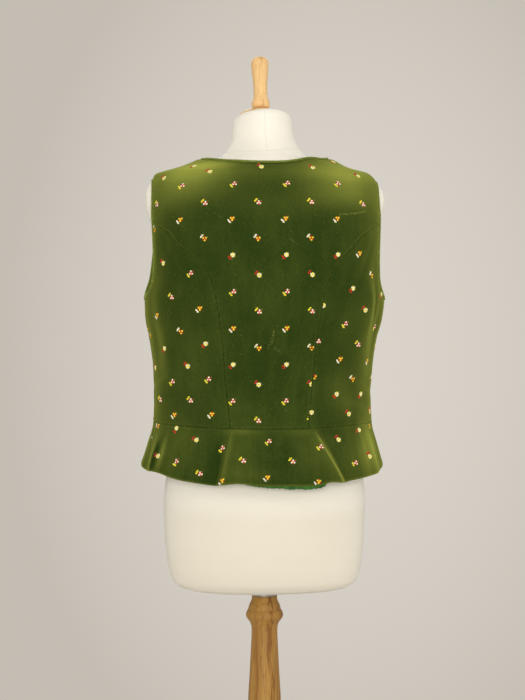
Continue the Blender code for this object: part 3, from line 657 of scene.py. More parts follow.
def clothShell(name, outer, normals, thickness, material, uv, values):
    # a closed thin wall under a grid of points, its rim rounded
    rows, columns = outer.shape[:2]
    index = np.arange(rows * columns).reshape(rows, columns)
    outside = outer.reshape(-1, 3)
    inside = outside - normals.reshape(-1, 3) * thickness
    border = np.concatenate([index[0], index[1:, -1], index[-1, -2::-1], index[-2:0:-1, 0]])
    row, column = np.divmod(border, columns)
    neighbour = index[np.clip(row, 1, rows - 2), np.clip(column, 1, columns - 2)]
    outward = outside[border] - outside[neighbour]
    outward /= np.linalg.norm(outward, axis=1, keepdims=True)
    middle = (outside[border] + inside[border]) / 2 + outward * thickness * 0.3
    below, rim = rows * columns, 2 * rows * columns
    here = np.arange(len(border))
    there = np.roll(here, -1)
    quads = gridQuads(index)
    faces = np.concatenate([
        quads,
        below + quads[:, ::-1],
        np.stack([border[there], border[here], rim + here, rim + there], 1),
        np.stack([rim + there, rim + here, below + border[here], below + border[there]], 1),
    ])
    flatUv = uv.reshape(-1, 2)
    flat = {key: value.reshape(-1) for key, value in values.items()}
    return meshObject(
        name, np.concatenate([outside, inside, middle]), faces, material,
        np.concatenate([flatUv, flatUv, flatUv[border]]),
        {key: np.concatenate([value, value, value[border]]) for key, value in flat.items()},
    )


def runAlong(points, axis):
    steps = np.linalg.norm(np.diff(points, axis=axis), axis=-1)
    start = np.zeros_like(np.take(steps, [0], axis=axis))
    return np.concatenate([start, np.cumsum(steps, axis=axis)], axis=axis)


roller = {  # how seams pull the cloth in
    "depth": 0.0009, "reach": 0.0015,
    "puff": 0.00025, "puffAt": 0.0065, "puffWidth": 0.0035,
    "pucker": 0.00016, "puckerReach": 0.009,
    # a painted highlight in a band just inside each seam, and painted shade right at the seam's edge
    "seamHighlightAt": 0.0013, "seamHighlightWidth": 0.0012, "shade": 0.10, "shadeWidth": 0.0008,
}


def panel(name, node, rowHeights, columns, lift=None):
    # a cut piece between two edges, rolled in at its seams
    heightRows = np.asarray(rowHeights)
    starts, ends = (edge(heightRows) for edge in panelEdges[name])
    angles = []
    for start, end, height in zip(starts, ends, heightRows):
        fine = np.linspace(start, end, 240)
        run = runAlong(sectionPoint(garment, fine, height), 0)
        angles.append(np.interp(edgeSpaced(run[-1], columns), run, fine))
    angles = np.array(angles)
    heights = settled(angles, heightRows[:, None])
    base = sectionPoint(garment, angles, heights)
    across, upward = runAlong(base, 1), runAlong(base, 0)
    toEdge = [across, across[:, -1:] - across, upward, upward[-1:] - upward]
    roll = -sum(hump(away / roller["reach"]) for away in toEdge) * roller["depth"]
    roll = np.maximum(roll, -roller["depth"] * 1.2)
    puff = sum(hump((away - roller["puffAt"]) / roller["puffWidth"]) for away in toEdge) * roller["puff"]
    pucker = np.sin(upward * 310 + 1.7 * np.sin(upward * 83)) * np.sin(across * 40 + 0.6)
    pucker = pucker * roller["pucker"] * sum(hump(away / roller["puckerReach"]) for away in toEdge[:2])
    extra = lift(angles, heights) if lift else 0.0
    normals = normalAt(garment, angles, heights)
    outer = base + normals * (relief(angles, heights) + roll + puff + pucker + extra)[..., None]
    nearest = np.min(toEdge, axis=0)
    values = {
        # rubbed pile and a painted highlight just inside each seam; painted shade right at the seam
        "seamLightAndShade": hump((nearest - roller["seamHighlightAt"]) / roller["seamHighlightWidth"]),
        "paintedLightAndNap": paintedLightAndNapAt(angles, heights) - roller["shade"] * hump(nearest / roller["shadeWidth"]),
    }
    uv = np.stack([across - across[:, -1:] / 2, upward], -1)
    made = clothShell(name, outer, normals, cut["velvet"], velvet, uv, values)
    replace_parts(made, node)


pipingSize = {
    "radius": 0.0018, "gap": 0.0002, "under": 0.0002,
    "roundFrom": -98, "roundTo": 235, "sides": 13,  # the cord's round part, in degrees
    "flange": ((-0.0046, -0.00240), (-0.0048, -0.00255), (-0.0046, -0.00270)),
    "twist": 0.03, "twists": 900,
}


def pipingTube(name, path, away, out, closed):
    # a round cord with the flat flange that is sewn in behind the cloth's edge
    turns = np.radians(np.linspace(pipingSize["roundFrom"], pipingSize["roundTo"], pipingSize["sides"]))
    section = np.stack([np.cos(turns), np.sin(turns)], 1) * pipingSize["radius"]
    section = np.concatenate([section, pipingSize["flange"]])
    run = runAlong(path, 0)
    twist = 1 + pipingSize["twist"] * np.sin(run * pipingSize["twists"])[:, None, None]
    ring = away[:, None] * section[None, :, :1] + out[:, None] * section[None, :, 1:]
    points = path[:, None] + ring * twist
    count, sides = points.shape[:2]
    index = np.arange(count * sides).reshape(count, sides)
    if closed:
        index = np.concatenate([index, index[:1]])
    faces = gridQuads(index, wrap=True).tolist()
    around = np.concatenate([turns * pipingSize["radius"], [0.005, 0.006, 0.007]])
    uv = np.stack([np.tile(around, count), np.repeat(run, sides)], -1)
    points = points.reshape(-1, 3)
    if not closed:
        ends = points.reshape(count, sides, 3)[[0, -1], :pipingSize["sides"]].mean(1)
        first, tail = len(points), (count - 1) * sides
        points = np.concatenate([points, ends])
        uv = np.concatenate([uv, uv[[0, -1]]])
        faces += [(side, (side + 1) % sides, first) for side in range(sides)]
        faces += [(tail + (side + 1) % sides, tail + side, first + 1) for side in range(sides)]
    return meshObject(name, points, faces, pipingCloth, uv)


# materials

pressMarks = [  # pile pressed flat: ends (x, z) on the back, half width, strength
    (-0.101, 1.2855, -0.142, 1.2925, 0.0013, 0.60),
    (-0.126, 1.2880, -0.142, 1.2935, 0.0010, 0.45),
    (0.108, 1.306, 0.070, 1.281, 0.0009, 0.20),
    (0.140, 1.283, 0.118, 1.262, 0.0009, 0.16),
    (-0.028, 1.250, -0.040, 1.242, 0.0010, 0.30),
    (-0.006, 1.118, -0.003, 1.098, 0.0020, 0.30),
    (-0.008, 1.094, -0.016, 1.084, 0.0016, 0.26),
    (-0.001, 1.106, 0.002, 1.092, 0.0016, 0.20),
    (-0.020, 1.205, -0.016, 1.188, 0.0008, 0.15),
]


def marksAt(look, place):
    # how much the pile is pressed at a place, along lines that stray a little
    stray = 0.0045
    _, depth, _ = look.axes(place)
    x, _, z = look.axes(look.vector("MULTIPLY_ADD", look.swirl(place, 70.0, 3.0), (stray, 0, stray), place))
    marks = None
    for startX, startZ, endX, endZ, width, strength in pressMarks:
        runX, runZ = endX - startX, endZ - startZ
        fromX, fromZ = x - (startX + stray / 2), z - (startZ + stray / 2)
        along = ((fromX * runX + fromZ * runZ) / (runX * runX + runZ * runZ)).clamped()
        away = ((fromX - along * runX) ** 2 + (fromZ - along * runZ) ** 2) ** 0.5
        mark = (1 - away / width).clamped() * strength
        marks = mark if marks is None else marks.maths("MAXIMUM", marks, mark)
    return marks * look.noise(place, 300.0, 2.0).eased(0.36, 0.60) * (depth > 0.0)


def velvetLook():
    colours = {
        "deep": rgb(0.0205, 0.0375, 0.0052), "mid": rgb(0.0270, 0.0465, 0.0064),
        # light: the colour of the velvet's lit copy, mixed in by the pile's sheen and by painted light
        "light": rgb(0.400, 0.425, 0.066), "wornPileAndHighlight": rgb(0.230, 0.250, 0.050),
    }
    look = Look("mossVelvet")
    place, cloth = look.place(), look.clothPlace()
    patches = look.noise(place, 8.0, 3.0, 0.55)
    brushed = look.noise(look.scaled(place, (60.0, 60.0, 14.0)), 1.0, 3.0, 0.6)
    ribs = look.noise(look.scaled(cloth, (1300.0, 40.0, 1.0)), 1.0, 1.0)
    pile = look.noise(place, 1100.0, 2.0, 0.6)
    shade = (patches * 0.6 + brushed * 0.4).eased(0.34, 0.70)
    shade = (shade + (ribs - 0.5) * 0.4 + (pile - 0.5) * 1.1).clamped()
    deep = look.mixed(shade, colours["deep"], colours["mid"])
    marks = marksAt(look, place)
    lint = look.noise(place, 520.0, 0.0).eased(0.80, 0.86) * 0.30
    # rubbed pile and a painted highlight in a band just inside each seam
    seamWearAndHighlight = look.attribute("seamLightAndShade") * 0.10 * look.noise(place, 240.0, 2.0).eased(0.3, 0.7)
    # pressed pile, lint and the seams take a lighter colour, which at the seams is also a painted highlight
    deep = look.mixed((seamWearAndHighlight + marks + lint).clamped(), deep, colours["wornPileAndHighlight"])
    facing = look.node("ShaderNodeLayerWeight", {}, {"Blend": 0.5}, "Facing")
    # the lit copy is mixed in by facing for the pile's sheen, and by the painted light and shade of the pile
    # attribute
    sheenAndPaintedLight = facing ** 2.2 * 0.78 + look.attribute("paintedLightAndNap") + 0.023
    mottled = look.noise(place, 300.0, 3.0, 0.65)  # tufts that lean this way and that
    sheenAndPaintedLight = sheenAndPaintedLight + (shade - 0.5) * 0.026 + (patches - 0.5) * 0.030 + (mottled - 0.5) * 0.075
    bump = look.bump(pile * 0.6 + ribs * 0.3 + look.noise(place, 420.0, 2.0) * 0.4, 0.0006, 0.5)
    rest = {"Roughness": 0.95, "Normal": bump, "Specular_IOR_Level": 0.02}
    sheen = {"Sheen_Weight": 0.08, "Sheen_Roughness": 0.35, "Sheen_Tint": rgb(0.6, 0.7, 0.12)}
    # a dark copy and a lit copy of the velvet, mixed by sheen and painted light
    dark = look.principled(Base_Color=deep, **sheen, **rest)
    light = look.principled(Base_Color=colours["light"], **rest)
    look.output(look.node("ShaderNodeMixShader", {}, {0: sheenAndPaintedLight.clamped(0.0, 0.92), 1: dark, 2: light}))
    return look.material


def pipingLook():
    look = Look("pipingVelvet")
    cloth = look.clothPlace()
    u, v, _ = look.axes(cloth)
    twill = ((u * 1.0 + v * 1.6) * 5200).sine()
    spots = look.noise(look.place(), 420.0, 3.0)
    colour = look.mixed(spots.eased(0.3, 0.7), rgb(0.100, 0.132, 0.017), rgb(0.190, 0.225, 0.032))
    return look.finish(
        Base_Color=colour, Roughness=0.8, Normal=look.bump(twill * 0.3 + spots, 0.0004, 0.6),
        Sheen_Weight=0.6, Sheen_Roughness=0.4, Sheen_Tint=rgb(0.62, 0.72, 0.14), Specular_IOR_Level=0.2,
    )


def liningLook():
    look = Look("liningSatin")
    u, v, _ = look.axes(look.clothPlace())
    weave = (u * 9000).sine() * 0.4 + (v * 7000).sine() * 0.3
    folds = look.noise(look.scaled(look.clothPlace(), (90.0, 20.0, 1.0)), 1.0, 3.0)
    # painted light and shade: the satin is lighter and darker along its noise folds
    colour = look.mixed(folds.eased(0.3, 0.7), rgb(0.020, 0.072, 0.008), rgb(0.042, 0.145, 0.016))
    roughness = 0.5 + folds * 0.2
    bump = look.bump(weave * 0.2 + folds, 0.0006, 0.5)
    return look.finish(Base_Color=colour, Roughness=roughness, Normal=bump, Specular_IOR_Level=0.15)


def jerseyLook():
    look = Look("creamJersey")
    place = look.place()
    u, v, _ = look.axes(look.clothPlace())
    wales = (u * 2 * math.pi / 0.0011).sine()
    courses = ((v * 2 * math.pi / 0.0009) + wales * 1.2).sine()
    slubs = look.noise(look.scaled(look.clothPlace(), (60.0, 900.0, 1.0)), 1.0, 2.0)
    soiled = look.noise(place, 5.0, 4.0, 0.6)
    lint = look.noise(place, 300.0, 2.0)
    _, _, height = look.axes(place)
    litCream, slub, paintedSeamShade = rgb(0.930, 0.878, 0.745), rgb(0.740, 0.665, 0.510), rgb(0.560, 0.470, 0.330)
    # painted light: the cream is lighter towards the neck and shoulders, where more light falls from above
    high = height.eased(1.20, 1.42)
    cleanLitFromAbove = look.mixed(high, rgb(0.765, 0.702, 0.560), litCream)
    soiledLitFromAbove = look.mixed(high, rgb(0.725, 0.658, 0.508), rgb(0.900, 0.838, 0.695))
    colour = look.mixed(soiled.eased(0.35, 0.75), cleanLitFromAbove, soiledLitFromAbove)
    covered = height.eased(0.835, 0.880) * (1 - high)  # painted light just below the hem, lifting the shade under the peplum
    colour = look.mixed(covered * 0.75, colour, litCream)
    colour = look.mixed((slubs.eased(0.45, 0.8) * 0.30).clamped(), colour, slub)
    # painted shade along the neck seams
    colour = look.mixed((look.attribute("seamLightAndShade") * 0.30).clamped(), colour, paintedSeamShade)
    knit = wales * 0.5 + courses * 0.5 + lint * 1.4
    return look.finish(
        Base_Color=colour, Roughness=0.92, Normal=look.bump(knit, 0.0003, 0.45),
        Sheen_Weight=0.75, Sheen_Roughness=0.7, Sheen_Tint=rgb(1.0, 0.93, 0.80), Specular_IOR_Level=0.2,
    )


beechTones = {
    "light": rgb(0.880, 0.600, 0.280), "mid": rgb(0.780, 0.480, 0.190), "dark": rgb(0.480, 0.240, 0.070),
}
honeyTones = {
    "light": rgb(0.440, 0.240, 0.052), "mid": rgb(0.330, 0.165, 0.032), "dark": rgb(0.190, 0.068, 0.011),
}
woods = {  # streaks: how strong; scale: how fine; band: a stripe's place across, half width, top and strength
    # on the light beech the band is painted shade down one side of the knob and cap
    "lightBeech": {"tones": beechTones, "streaks": 0.85, "scale": 100.0, "band": (0.0215, 0.0090, 2.0, 0.75)},
    "honeyBeech": {"tones": honeyTones, "streaks": 0.95, "scale": 90.0, "band": (0.0158, 0.0045, 0.700, 0.75)},
    "honeyBeechBoard": {"tones": honeyTones, "streaks": 0.6, "scale": 60.0, "band": None},
}


def woodLook(name):
    # the grain runs up a turned piece and across the plain board; a turned piece has one darker band, which on
    # the post is a streak in the wood and on the knob and cap is painted shade down one side
    look, wood = Look(name), woods[name]
    tones, streaks, scale = wood["tones"], wood["streaks"], wood["scale"]
    place = look.place()
    wave = look.swirl(look.scaled(place, (9.0, 9.0, 14.0)), 1.0, 2.0)
    bent = look.vector("MULTIPLY_ADD", wave, (0.006, 0.006, 0.0), place)

    def stretched(wide, long):
        along = (wide, wide, long) if wood["band"] else (long, wide, wide)
        return look.scaled(bent, tuple(scale * part for part in along))

    grain = look.noise(stretched(3.0, 0.05), 1.0, 4.0, 0.65)
    broad = look.noise(stretched(0.8, 0.020), 1.0, 3.0, 0.55)
    flecks = look.noise(stretched(6.0, 0.45), 1.0, 2.0, 0.6)
    colour = look.mixed((grain * 0.6 + broad * 0.4).eased(0.36, 0.66), tones["mid"], tones["light"])
    streaked = broad.eased(0.50, 0.64) * grain.eased(0.36, 0.56) * streaks
    colour = look.mixed(streaked.clamped(), colour, tones["dark"])
    colour = look.mixed((flecks.eased(0.60, 0.70) * streaks * 0.7).clamped(), colour, tones["dark"])
    if wood["band"]:
        # a darker stripe: painted shade down one side of the knob and cap, a darker streak up the post
        across, half, top, strength = wood["band"]
        x, y, z = look.axes(bent)
        heart = (1 - abs(x - across) / half).clamped() * (y > 0.0)
        heart = heart * ((top - z) / 0.05).clamped() * (0.5 + grain * 0.8)
        colour = look.mixed((heart * strength).clamped(), colour, tones["dark"])
    bump = look.bump(grain * 0.5 + flecks * 0.5, 0.0004, 0.3)
    return look.finish(
        Base_Color=colour, Roughness=0.50 + grain * 0.16, Normal=bump,
        Specular_IOR_Level=0.25, Coat_Weight=0.04, Coat_Roughness=0.35,
    )


def metalLook():
    look = Look("greyCollarMetal")
    place = look.place()
    brushed = look.noise(look.scaled(place, (30.0, 30.0, 1600.0)), 1.0, 3.0)
    spots = look.noise(place, 60.0, 3.0)
    colour = look.mixed(spots, rgb(0.34, 0.33, 0.31), rgb(0.48, 0.47, 0.44))
    bump = look.bump(brushed, 0.0002, 0.3)
    return look.finish(Base_Color=colour, Metallic=0.6, Roughness=0.45 + brushed * 0.25, Normal=bump)


def threadLook():
    look = Look("embroideryThread")
    place = look.place()
    fibre = look.noise(place, 2600.0, 2.0)
    own = look.attribute("thread", "Color")
    colour = look.mixed(fibre * 0.25, own, look.scaled(own, (0.4, 0.35, 0.3)))
    bump = look.bump(fibre, 0.0002, 0.4)
    return look.finish(Base_Color=colour, Roughness=0.62, Normal=bump, Specular_IOR_Level=0.2)


velvet = velvetLook()
pipingCloth = pipingLook()
liningSatin = liningLook()
jersey = jerseyLook()
lightWood, honeyWood, boardWood = (woodLook(name) for name in woods)
collarMetal = metalLook()
thread = threadLook()
print("materials made")


# the velvet panels

def span(low, high, count, near=False):
    # row heights; with near, close together just above low
    if not near:
        return np.linspace(low, high, count, endpoint=False)
    return np.concatenate([low + nearEdge, np.linspace(low + nearEdge[-1], high, count + 1)[1:-1]])


halfSeam = cut["seamGap"] / 2
princessEnd = 1.2758  # the side backs' own top, just under the end of the curved seam


def backEdge(side):
    # the curved seam, then the armhole and the shoulder's ridge
    def edge(heights):
        seam = princessAngle(side, heights, -halfSeam)
        return onSide(side, np.where(heights < cut["princessTop"], seam, outerEdge(heights, True)))
    return edge


def sideEdge(side, back=True):
    return lambda heights: onSide(side, outerEdge(heights, back))


def curvedEdge(side):
    return lambda heights: onSide(side, princessAngle(side, heights, halfSeam))


def openingEdge(side):
    return lambda heights: onSide(side, frontInnerEdge(side, heights))


panelEdges = {  # where each piece starts and ends, in the direction of rising angle
    "velvetBackCentre": (backEdge(1), backEdge(-1)),
    "velvetBackSideLeft": (sideEdge(1), curvedEdge(1)),
    "velvetBackSideRight": (curvedEdge(-1), sideEdge(-1)),
    "velvetPeplum": (sideEdge(1), sideEdge(-1)),
    "velvetFrontLeft": (openingEdge(1), sideEdge(1, False)),
    "velvetFrontRight": (sideEdge(-1, False), openingEdge(-1)),
}
dart = {  # one waist dart in each front, from under the bust to above the hem
    "from": 0.945, "to": 1.125, "at": 0.074, "spread": 0.10, "half": 0.0030, "depth": 0.0009,
}


def dartDitch(angles, heights):
    x = np.abs(sectionPoint(garment, angles, heights)[..., 0])
    middle = dart["at"] + dart["spread"] * (heights - 1.0)
    inDart = smooth((heights - dart["from"]) / 0.02) * smooth((dart["to"] - heights) / 0.05)
    return -dart["depth"] * inDart * hump((x - middle) / dart["half"]) * (np.sin(angles) < 0)


def underLap(angles, heights):
    # the left front sinks where the right one covers it
    x = sectionPoint(garment, angles, heights)[..., 0]
    return -(0.0018 + cut["lapGap"]) * (1 - smooth((x - 0.018) / 0.022)) + dartDitch(angles, heights)


def buildPanels():
    waistRows = span(cut["waistSide"] + 0.0001, cut["armholeBottom"], 56, near=True)
    holeRows = armholeHeights(np.radians(np.linspace(4.0, 180.0, 66, endpoint=False)))
    ridgeRows = np.concatenate([
        [cut["shoulderTip"]],
        np.linspace(cut["shoulderTip"] + 0.0015, cut["neckPoint"] - 0.008, 10),
        cut["neckPoint"] - nearEdge[::-1] * 0.75,
    ])
    backRows = np.concatenate([waistRows, holeRows, ridgeRows])
    sideRows = np.concatenate([waistRows, holeRows[holeRows < princessEnd - 0.0002], [princessEnd]])
    peplumRows = np.concatenate([
        span(cut["hemSide"], cut["waistSide"] - 0.011, 22, near=True),
        cut["waistSide"] - cut["seamGap"] - nearEdge[::-1],
    ])
    hemRows = span(cut["hemSide"], cut["armholeBottom"], 80, near=True)
    frontRows = np.concatenate([hemRows, holeRows, ridgeRows])
    panel("velvetBackCentre", "back_centre", backRows, 96)
    panel("velvetBackSideLeft", "back_side_left", sideRows, 44)
    panel("velvetBackSideRight", "back_side_right", sideRows, 44)
    panel("velvetPeplum", "back_peplum", peplumRows, 230)
    panel("velvetFrontLeft", "front_left", frontRows, 84, underLap)
    panel("velvetFrontRight", "front_right", frontRows, 84, dartDitch)


buildPanels()


# piping beside the edges

def besideEdge(angles, heights, closed):
    surface = clothPoint(angles, heights)
    out = normalAt(garment, angles, heights)
    if closed:
        along = np.roll(surface, -1, 0) - np.roll(surface, 1, 0)
    else:
        along = np.gradient(surface, axis=0)
    away = np.cross(along, out)
    away /= np.linalg.norm(away, axis=1, keepdims=True)
    under = pipingSize["under"] + neckRise(angles, heights)
    path = surface + away * (pipingSize["gap"] + pipingSize["radius"]) - out * under[:, None]
    return path, away, out


def armholeLine(side, count):
    turns = np.linspace(0, 2 * math.pi, count, endpoint=False)
    heights = armholeHeights(turns)
    reach = power(np.sin(turns), 2 / cut["armholeRound"])
    depths = armholeMiddle(heights) + np.where(reach > 0, cut["armholeBack"], cut["armholeFront"]) * reach
    angles = onSide(side, angleAtDepth(heights, depths))
    return (angles[::-1], heights[::-1]) if side > 0 else (angles, heights)


def neckLine():
    # the right front's corner, up round the back neck, down to where the right front covers it
    fronts = {}
    for side in (1, -1):
        share = np.linspace(0, 1, 91)[1:] ** 1.6 * (0.96 if side > 0 else 1.0)
        heights = cut["neckPoint"] - (cut["neckPoint"] - cut["neckFront"]) * share ** 1.5
        fronts[side] = (onSide(side, -angleAtWidth(side, heights, necklineWidth(heights))), heights)
    kept = sectionPoint(garment, *fronts[1])[:, 0] > 0.0036
    back = np.linspace(math.pi, 0, 90)
    angles = np.concatenate([fronts[-1][0][::-1], back, fronts[1][0][kept]])
    heights = np.concatenate([fronts[-1][1][::-1], neckHeight(back), fronts[1][1][kept]])
    return angles, heights


def buildPiping():
    for word, side in (("left", 1), ("right", -1)):
        edge = besideEdge(*armholeLine(side, 240), True)
        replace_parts(pipingTube("pipingArmhole" + word.capitalize(), *edge, True), "armhole_piping_" + word)
    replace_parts(pipingTube("pipingNeck", *besideEdge(*neckLine(), False), False), "neck_piping")


buildPiping()
print("piping made")


# lining under the back hem

liningDrop = Table([  # width, drop below the velvet's hem: an uneven edge
    (-0.085, -0.0030), (-0.080, 0.0026), (-0.073, 0.0040), (-0.065, 0.0040), (-0.057, 0.0047), (-0.048, 0.0046),
    (-0.040, 0.0042), (-0.032, 0.0046), (-0.024, 0.0044), (-0.018, 0.0032), (-0.010, 0.0030), (0.000, 0.0028),
    (0.008, 0.0024), (0.016, 0.0016), (0.024, 0.0012), (0.032, 0.0010), (0.038, -0.0030),
])


lining = {
    "left": 0.038, "right": -0.084, "columns": 130, "rows": 22, "up": 0.024, "thickness": 0.0009,
    "inside": 0.0023, "ripple": 0.0005, "curl": -0.0006, "jag": 0.00045,
}


def buildLining():
    widths = np.linspace(lining["left"], lining["right"], lining["columns"])
    angles = angleAtWidth(1, np.full(lining["columns"], cut["hemSide"]), np.abs(widths))
    angles = np.where(widths >= 0, angles, math.pi - angles)
    hem = hemHeight(angles)
    jag = lining["jag"] * np.sin(widths * 900 + 1.4 * np.sin(widths * 310)) * np.sin(widths * 230 + 0.7)
    bottom = hem - liningDrop.at(widths)[:, 0] + jag
    share = np.linspace(0, 1, lining["rows"])[:, None]
    heights = bottom + (hem + lining["up"] - bottom) * share
    angles = np.broadcast_to(angles, heights.shape)
    ripple = lining["ripple"] * np.sin(widths * 260 + 2 * share) * np.exp(-share * 4)
    curl = lining["curl"] * np.exp(-share * 26)
    away = relief(angles, heights) - lining["inside"] + ripple + curl
    normals = normalAt(garment, angles, heights)
    outer = sectionPoint(garment, angles, heights) + normals * away[..., None]
    uv = np.stack([runAlong(outer, 1), runAlong(outer, 0)], -1)
    made = clothShell("liningHem", outer, normals, lining["thickness"], liningSatin, uv, {})
    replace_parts(made, "lining_hem")


buildLining()
print("lining made")


# embroidered sprigs

threadColours = {
    "white": (0.960, 0.890, 0.660),
    "cream": (0.860, 0.600, 0.480),
    "yellow": (0.930, 0.780, 0.045),
    "gold": (0.760, 0.600, 0.035),
    "red": (0.560, 0.026, 0.010),
    "darkRed": (0.300, 0.012, 0.006),
    "leaf": (0.420, 0.440, 0.110),
}
sprigKinds = [  # petals in turn, heart, bud, and whether the bud sits above the flower
    (("yellow", "white"), "gold", "red", True),
    (("white", "red"), "red", "yellow", False),
    (("white", "red"), "cream", "yellow", True),
    (("red", "yellow"), "yellow", "white", False),
    (("red", "yellow"), "darkRed", "white", True),
    (("yellow", "white"), "white", "red", False),
]
sprigSize = {  # millimetres
    "thread": 1.15,
    "petalFrom": 0.8,
    "petalTo": 3.95,
    "petals": 6,
    "heart": 1.05,
    "budAt": 5.75,
    "budPitch": 0.86,
    "budLengths": (1.7, 2.7, 3.1, 2.6, 2.6, 3.1, 2.7, 1.7),
    "height": 0.55,
}
leafStitch = (0.6, 0.4)  # width and height


def stitch(start, end, width, height):
    # one satin stitch lying on the cloth: 12 points (across, up, lift) in millimetres
    start, end = np.array(start, float), np.array(end, float)
    along = (end - start) / np.linalg.norm(end - start)
    side = np.array([-along[1], along[0]]) * width / 2
    points = []
    for share, wide, high in ((0.0, 0.55, 0.25), (0.5, 1.0, 1.0), (1.0, 0.55, 0.25)):
        middle = start + (end - start) * share
        for sideways, lift in ((-1.0, -0.35), (1.0, -0.35), (0.62, height * high), (-0.62, height * high)):
            points.append((*(middle + side * wide * sideways), lift))
    return np.array(points)


stitchRings = np.arange(12).reshape(3, 4)
stitchSides = gridQuads(stitchRings, wrap=True)[:, ::-1]
stitchFaces = np.concatenate([stitchRings[:1], stitchRings[2:, ::-1], stitchSides])


def turned(degrees):
    # a direction in the plane and the one square to it
    turn = math.radians(degrees)
    return np.array([math.cos(turn), math.sin(turn)]), np.array([-math.sin(turn), math.cos(turn)])


def sprigStitches(kind):
    petals, heart, bud, above = sprigKinds[kind]
    size, thick = sprigSize, sprigSize["height"]
    centre = np.array([0.5, -2.2]) if above else np.array([0.5, 0.5])
    made = []
    for petal in range(size["petals"]):
        out, across = turned(90 + 60 * petal)
        for place, reach in ((-1, 0.88), (0, 1.0), (1, 0.88)):
            start = centre + out * size["petalFrom"] + across * place * 0.28
            end = centre + out * size["petalTo"] * reach + across * place * 1.05
            made.append((stitch(start, end, size["thread"], thick), petals[petal % 2]))
    for place in (-1, 0, 1):
        middle = centre + np.array([place * 0.55, 0.0])
        reach = np.array([0.0, size["heart"] * (1.0 if place == 0 else 0.7)])
        made.append((stitch(middle - reach, middle + reach, 0.8, thick * 1.35), heart))
    out, across = turned(139 if above else 220)
    turnsTo = 1 if above else -1
    firstPlace = -(len(size["budLengths"]) - 1) / 2
    for place, length in enumerate(size["budLengths"]):
        middle = centre + out * size["budAt"] + across * (place + firstPlace) * size["budPitch"]
        half = out * length / 2
        made.append((stitch(middle - half, middle + half, size["thread"], thick), bud))
    stem = centre + out * (size["budAt"] + 1.5) - across * 1.2 * turnsTo
    made.append((stitch(stem, stem + out * 1.3 + across * 0.4 * turnsTo, *leafStitch), "leaf"))
    leaf = centre + np.array([2.9, 2.6])
    made.append((stitch(leaf, leaf + np.array([1.4, 0.8]), *leafStitch), "leaf"))
    return made


ringAngles = np.radians(np.linspace(-100, 280, 1521))


def angleAlong(height, zeroAngle, across):
    # the angle that lies this far along the ring from the zero angle
    run = runAlong(sectionPoint(garment, ringAngles, height), 0)
    return float(np.interp(np.interp(zeroAngle, ringAngles, run) + across, run, ringAngles))


repeat = {"across": 0.0773, "upward": 0.02628}  # the pattern's pitch along a row and between rows


def rowPlaces(zeroAngle, direction, rows, columns, firstHeight, firstColumns, firstKind, shift=None):
    # sprigs on level rows, every second row set over by half a repeat: (angle, height, kind, lean)
    places = []
    for row in range(*rows):
        height = firstHeight + repeat["upward"] * row
        kind = (firstKind - row) % 6
        for column in range(*columns):
            across = firstColumns[kind % 2] + repeat["across"] * column + (shift(height) if shift else 0.0)
            places.append((angleAlong(height, zeroAngle, direction * across), height, kind, 0.0))
    return places


def columnPlaces(chart):
    # sprigs up the shaped side pieces, at distances from the centre back
    places = []
    for height, step, kind, distances in chart:
        for number, distance in enumerate(distances):
            level = height + step * number + (0.0014 if kind % 2 else 0.0)
            angle = angleAlong(level, math.pi / 2, distance / 1000)
            places.append((angle, level, (kind - 1 - 2 * number) % 6, 0.0))
    return places


leftColumns = [  # first height, step, kind, distances in millimetres
    (0.9965, 0.0510, 4, (-84, -88.5, -93.5, -102.5, -116)),
    (1.0170, 0.0500, 3, (-116, -121, -132, -147, -164, -184)),
    (0.9950, 0.0485, 4, (-143, -146, -161, -176)),
    (1.0170, 0.0475, 3, (-174, -192, -206)),
]
rightColumns = [
    (1.0000, 0.0517, 1, (62, 66, 72, 78)),
    (1.0250, 0.0514, 6, (101.5, 107, 114, 125, 137)),
    (0.9970, 0.0507, 1, (123, 130, 138.5, 148.5, 163.5)),
    (1.0245, 0.0493, 6, (147, 164, 184, 197)),
    (0.9990, 0.0480, 1, (178, 190, 201)),
]


shoulderChart = [  # angle, height, kind and lean of the sprigs nearest the shoulders
    (85.7, 1.3585, 0, 0.0), (58.4, 1.3515, 0, 0.1), (26.2, 1.3442, 0, 0.2), (39.7, 1.3602, 5, 0.2),
    (116.6, 1.3585, 0, -0.1), (144.0, 1.3482, 0, -0.2), (153.2, 1.3693, 5, -0.2),
    (139.75, 1.3050, 2, 0.0), (23.35, 1.3050, 2, 0.0),
]
peplumChart = [  # angle, height and kind of each sprig on the flared peplum
    (38.7, 0.9750, 5), (144.7, 0.9720, 5),
    (28.6, 0.9360, 0), (53.7, 0.9615, 0), (126.2, 0.9615, 0), (148.2, 0.9350, 0),
    (44.0, 0.9278, 1), (68.7, 0.9485, 1), (89.7, 0.9580, 1), (113.8, 0.9485, 1), (134.9, 0.9252, 1),
    (58.2, 0.9140, 2), (78.7, 0.9320, 2), (99.7, 0.9315, 2),
    (69.7, 0.9015, 3), (88.7, 0.9075, 3), (110.9, 0.9003, 3), (124.5, 0.9820, 3), (7.0, 0.9400, 5),
    (17.2, 0.9790, 4), (163.2, 0.9785, 4),
]


def leftSeenEdge(heights):
    # the left front shows only beyond the right one
    covered = -angleAtWidth(1, heights, np.full(np.shape(heights), cut["overlap"]))
    return np.maximum(frontInnerEdge(1, heights), covered)


sprigEdges = dict(panelEdges, velvetFrontLeft=(leftSeenEdge, sideEdge(1, False)))
sprigMargins = (0.0012, 0.0010)  # how near a stitch may come to an upper or lower edge, and to a side edge


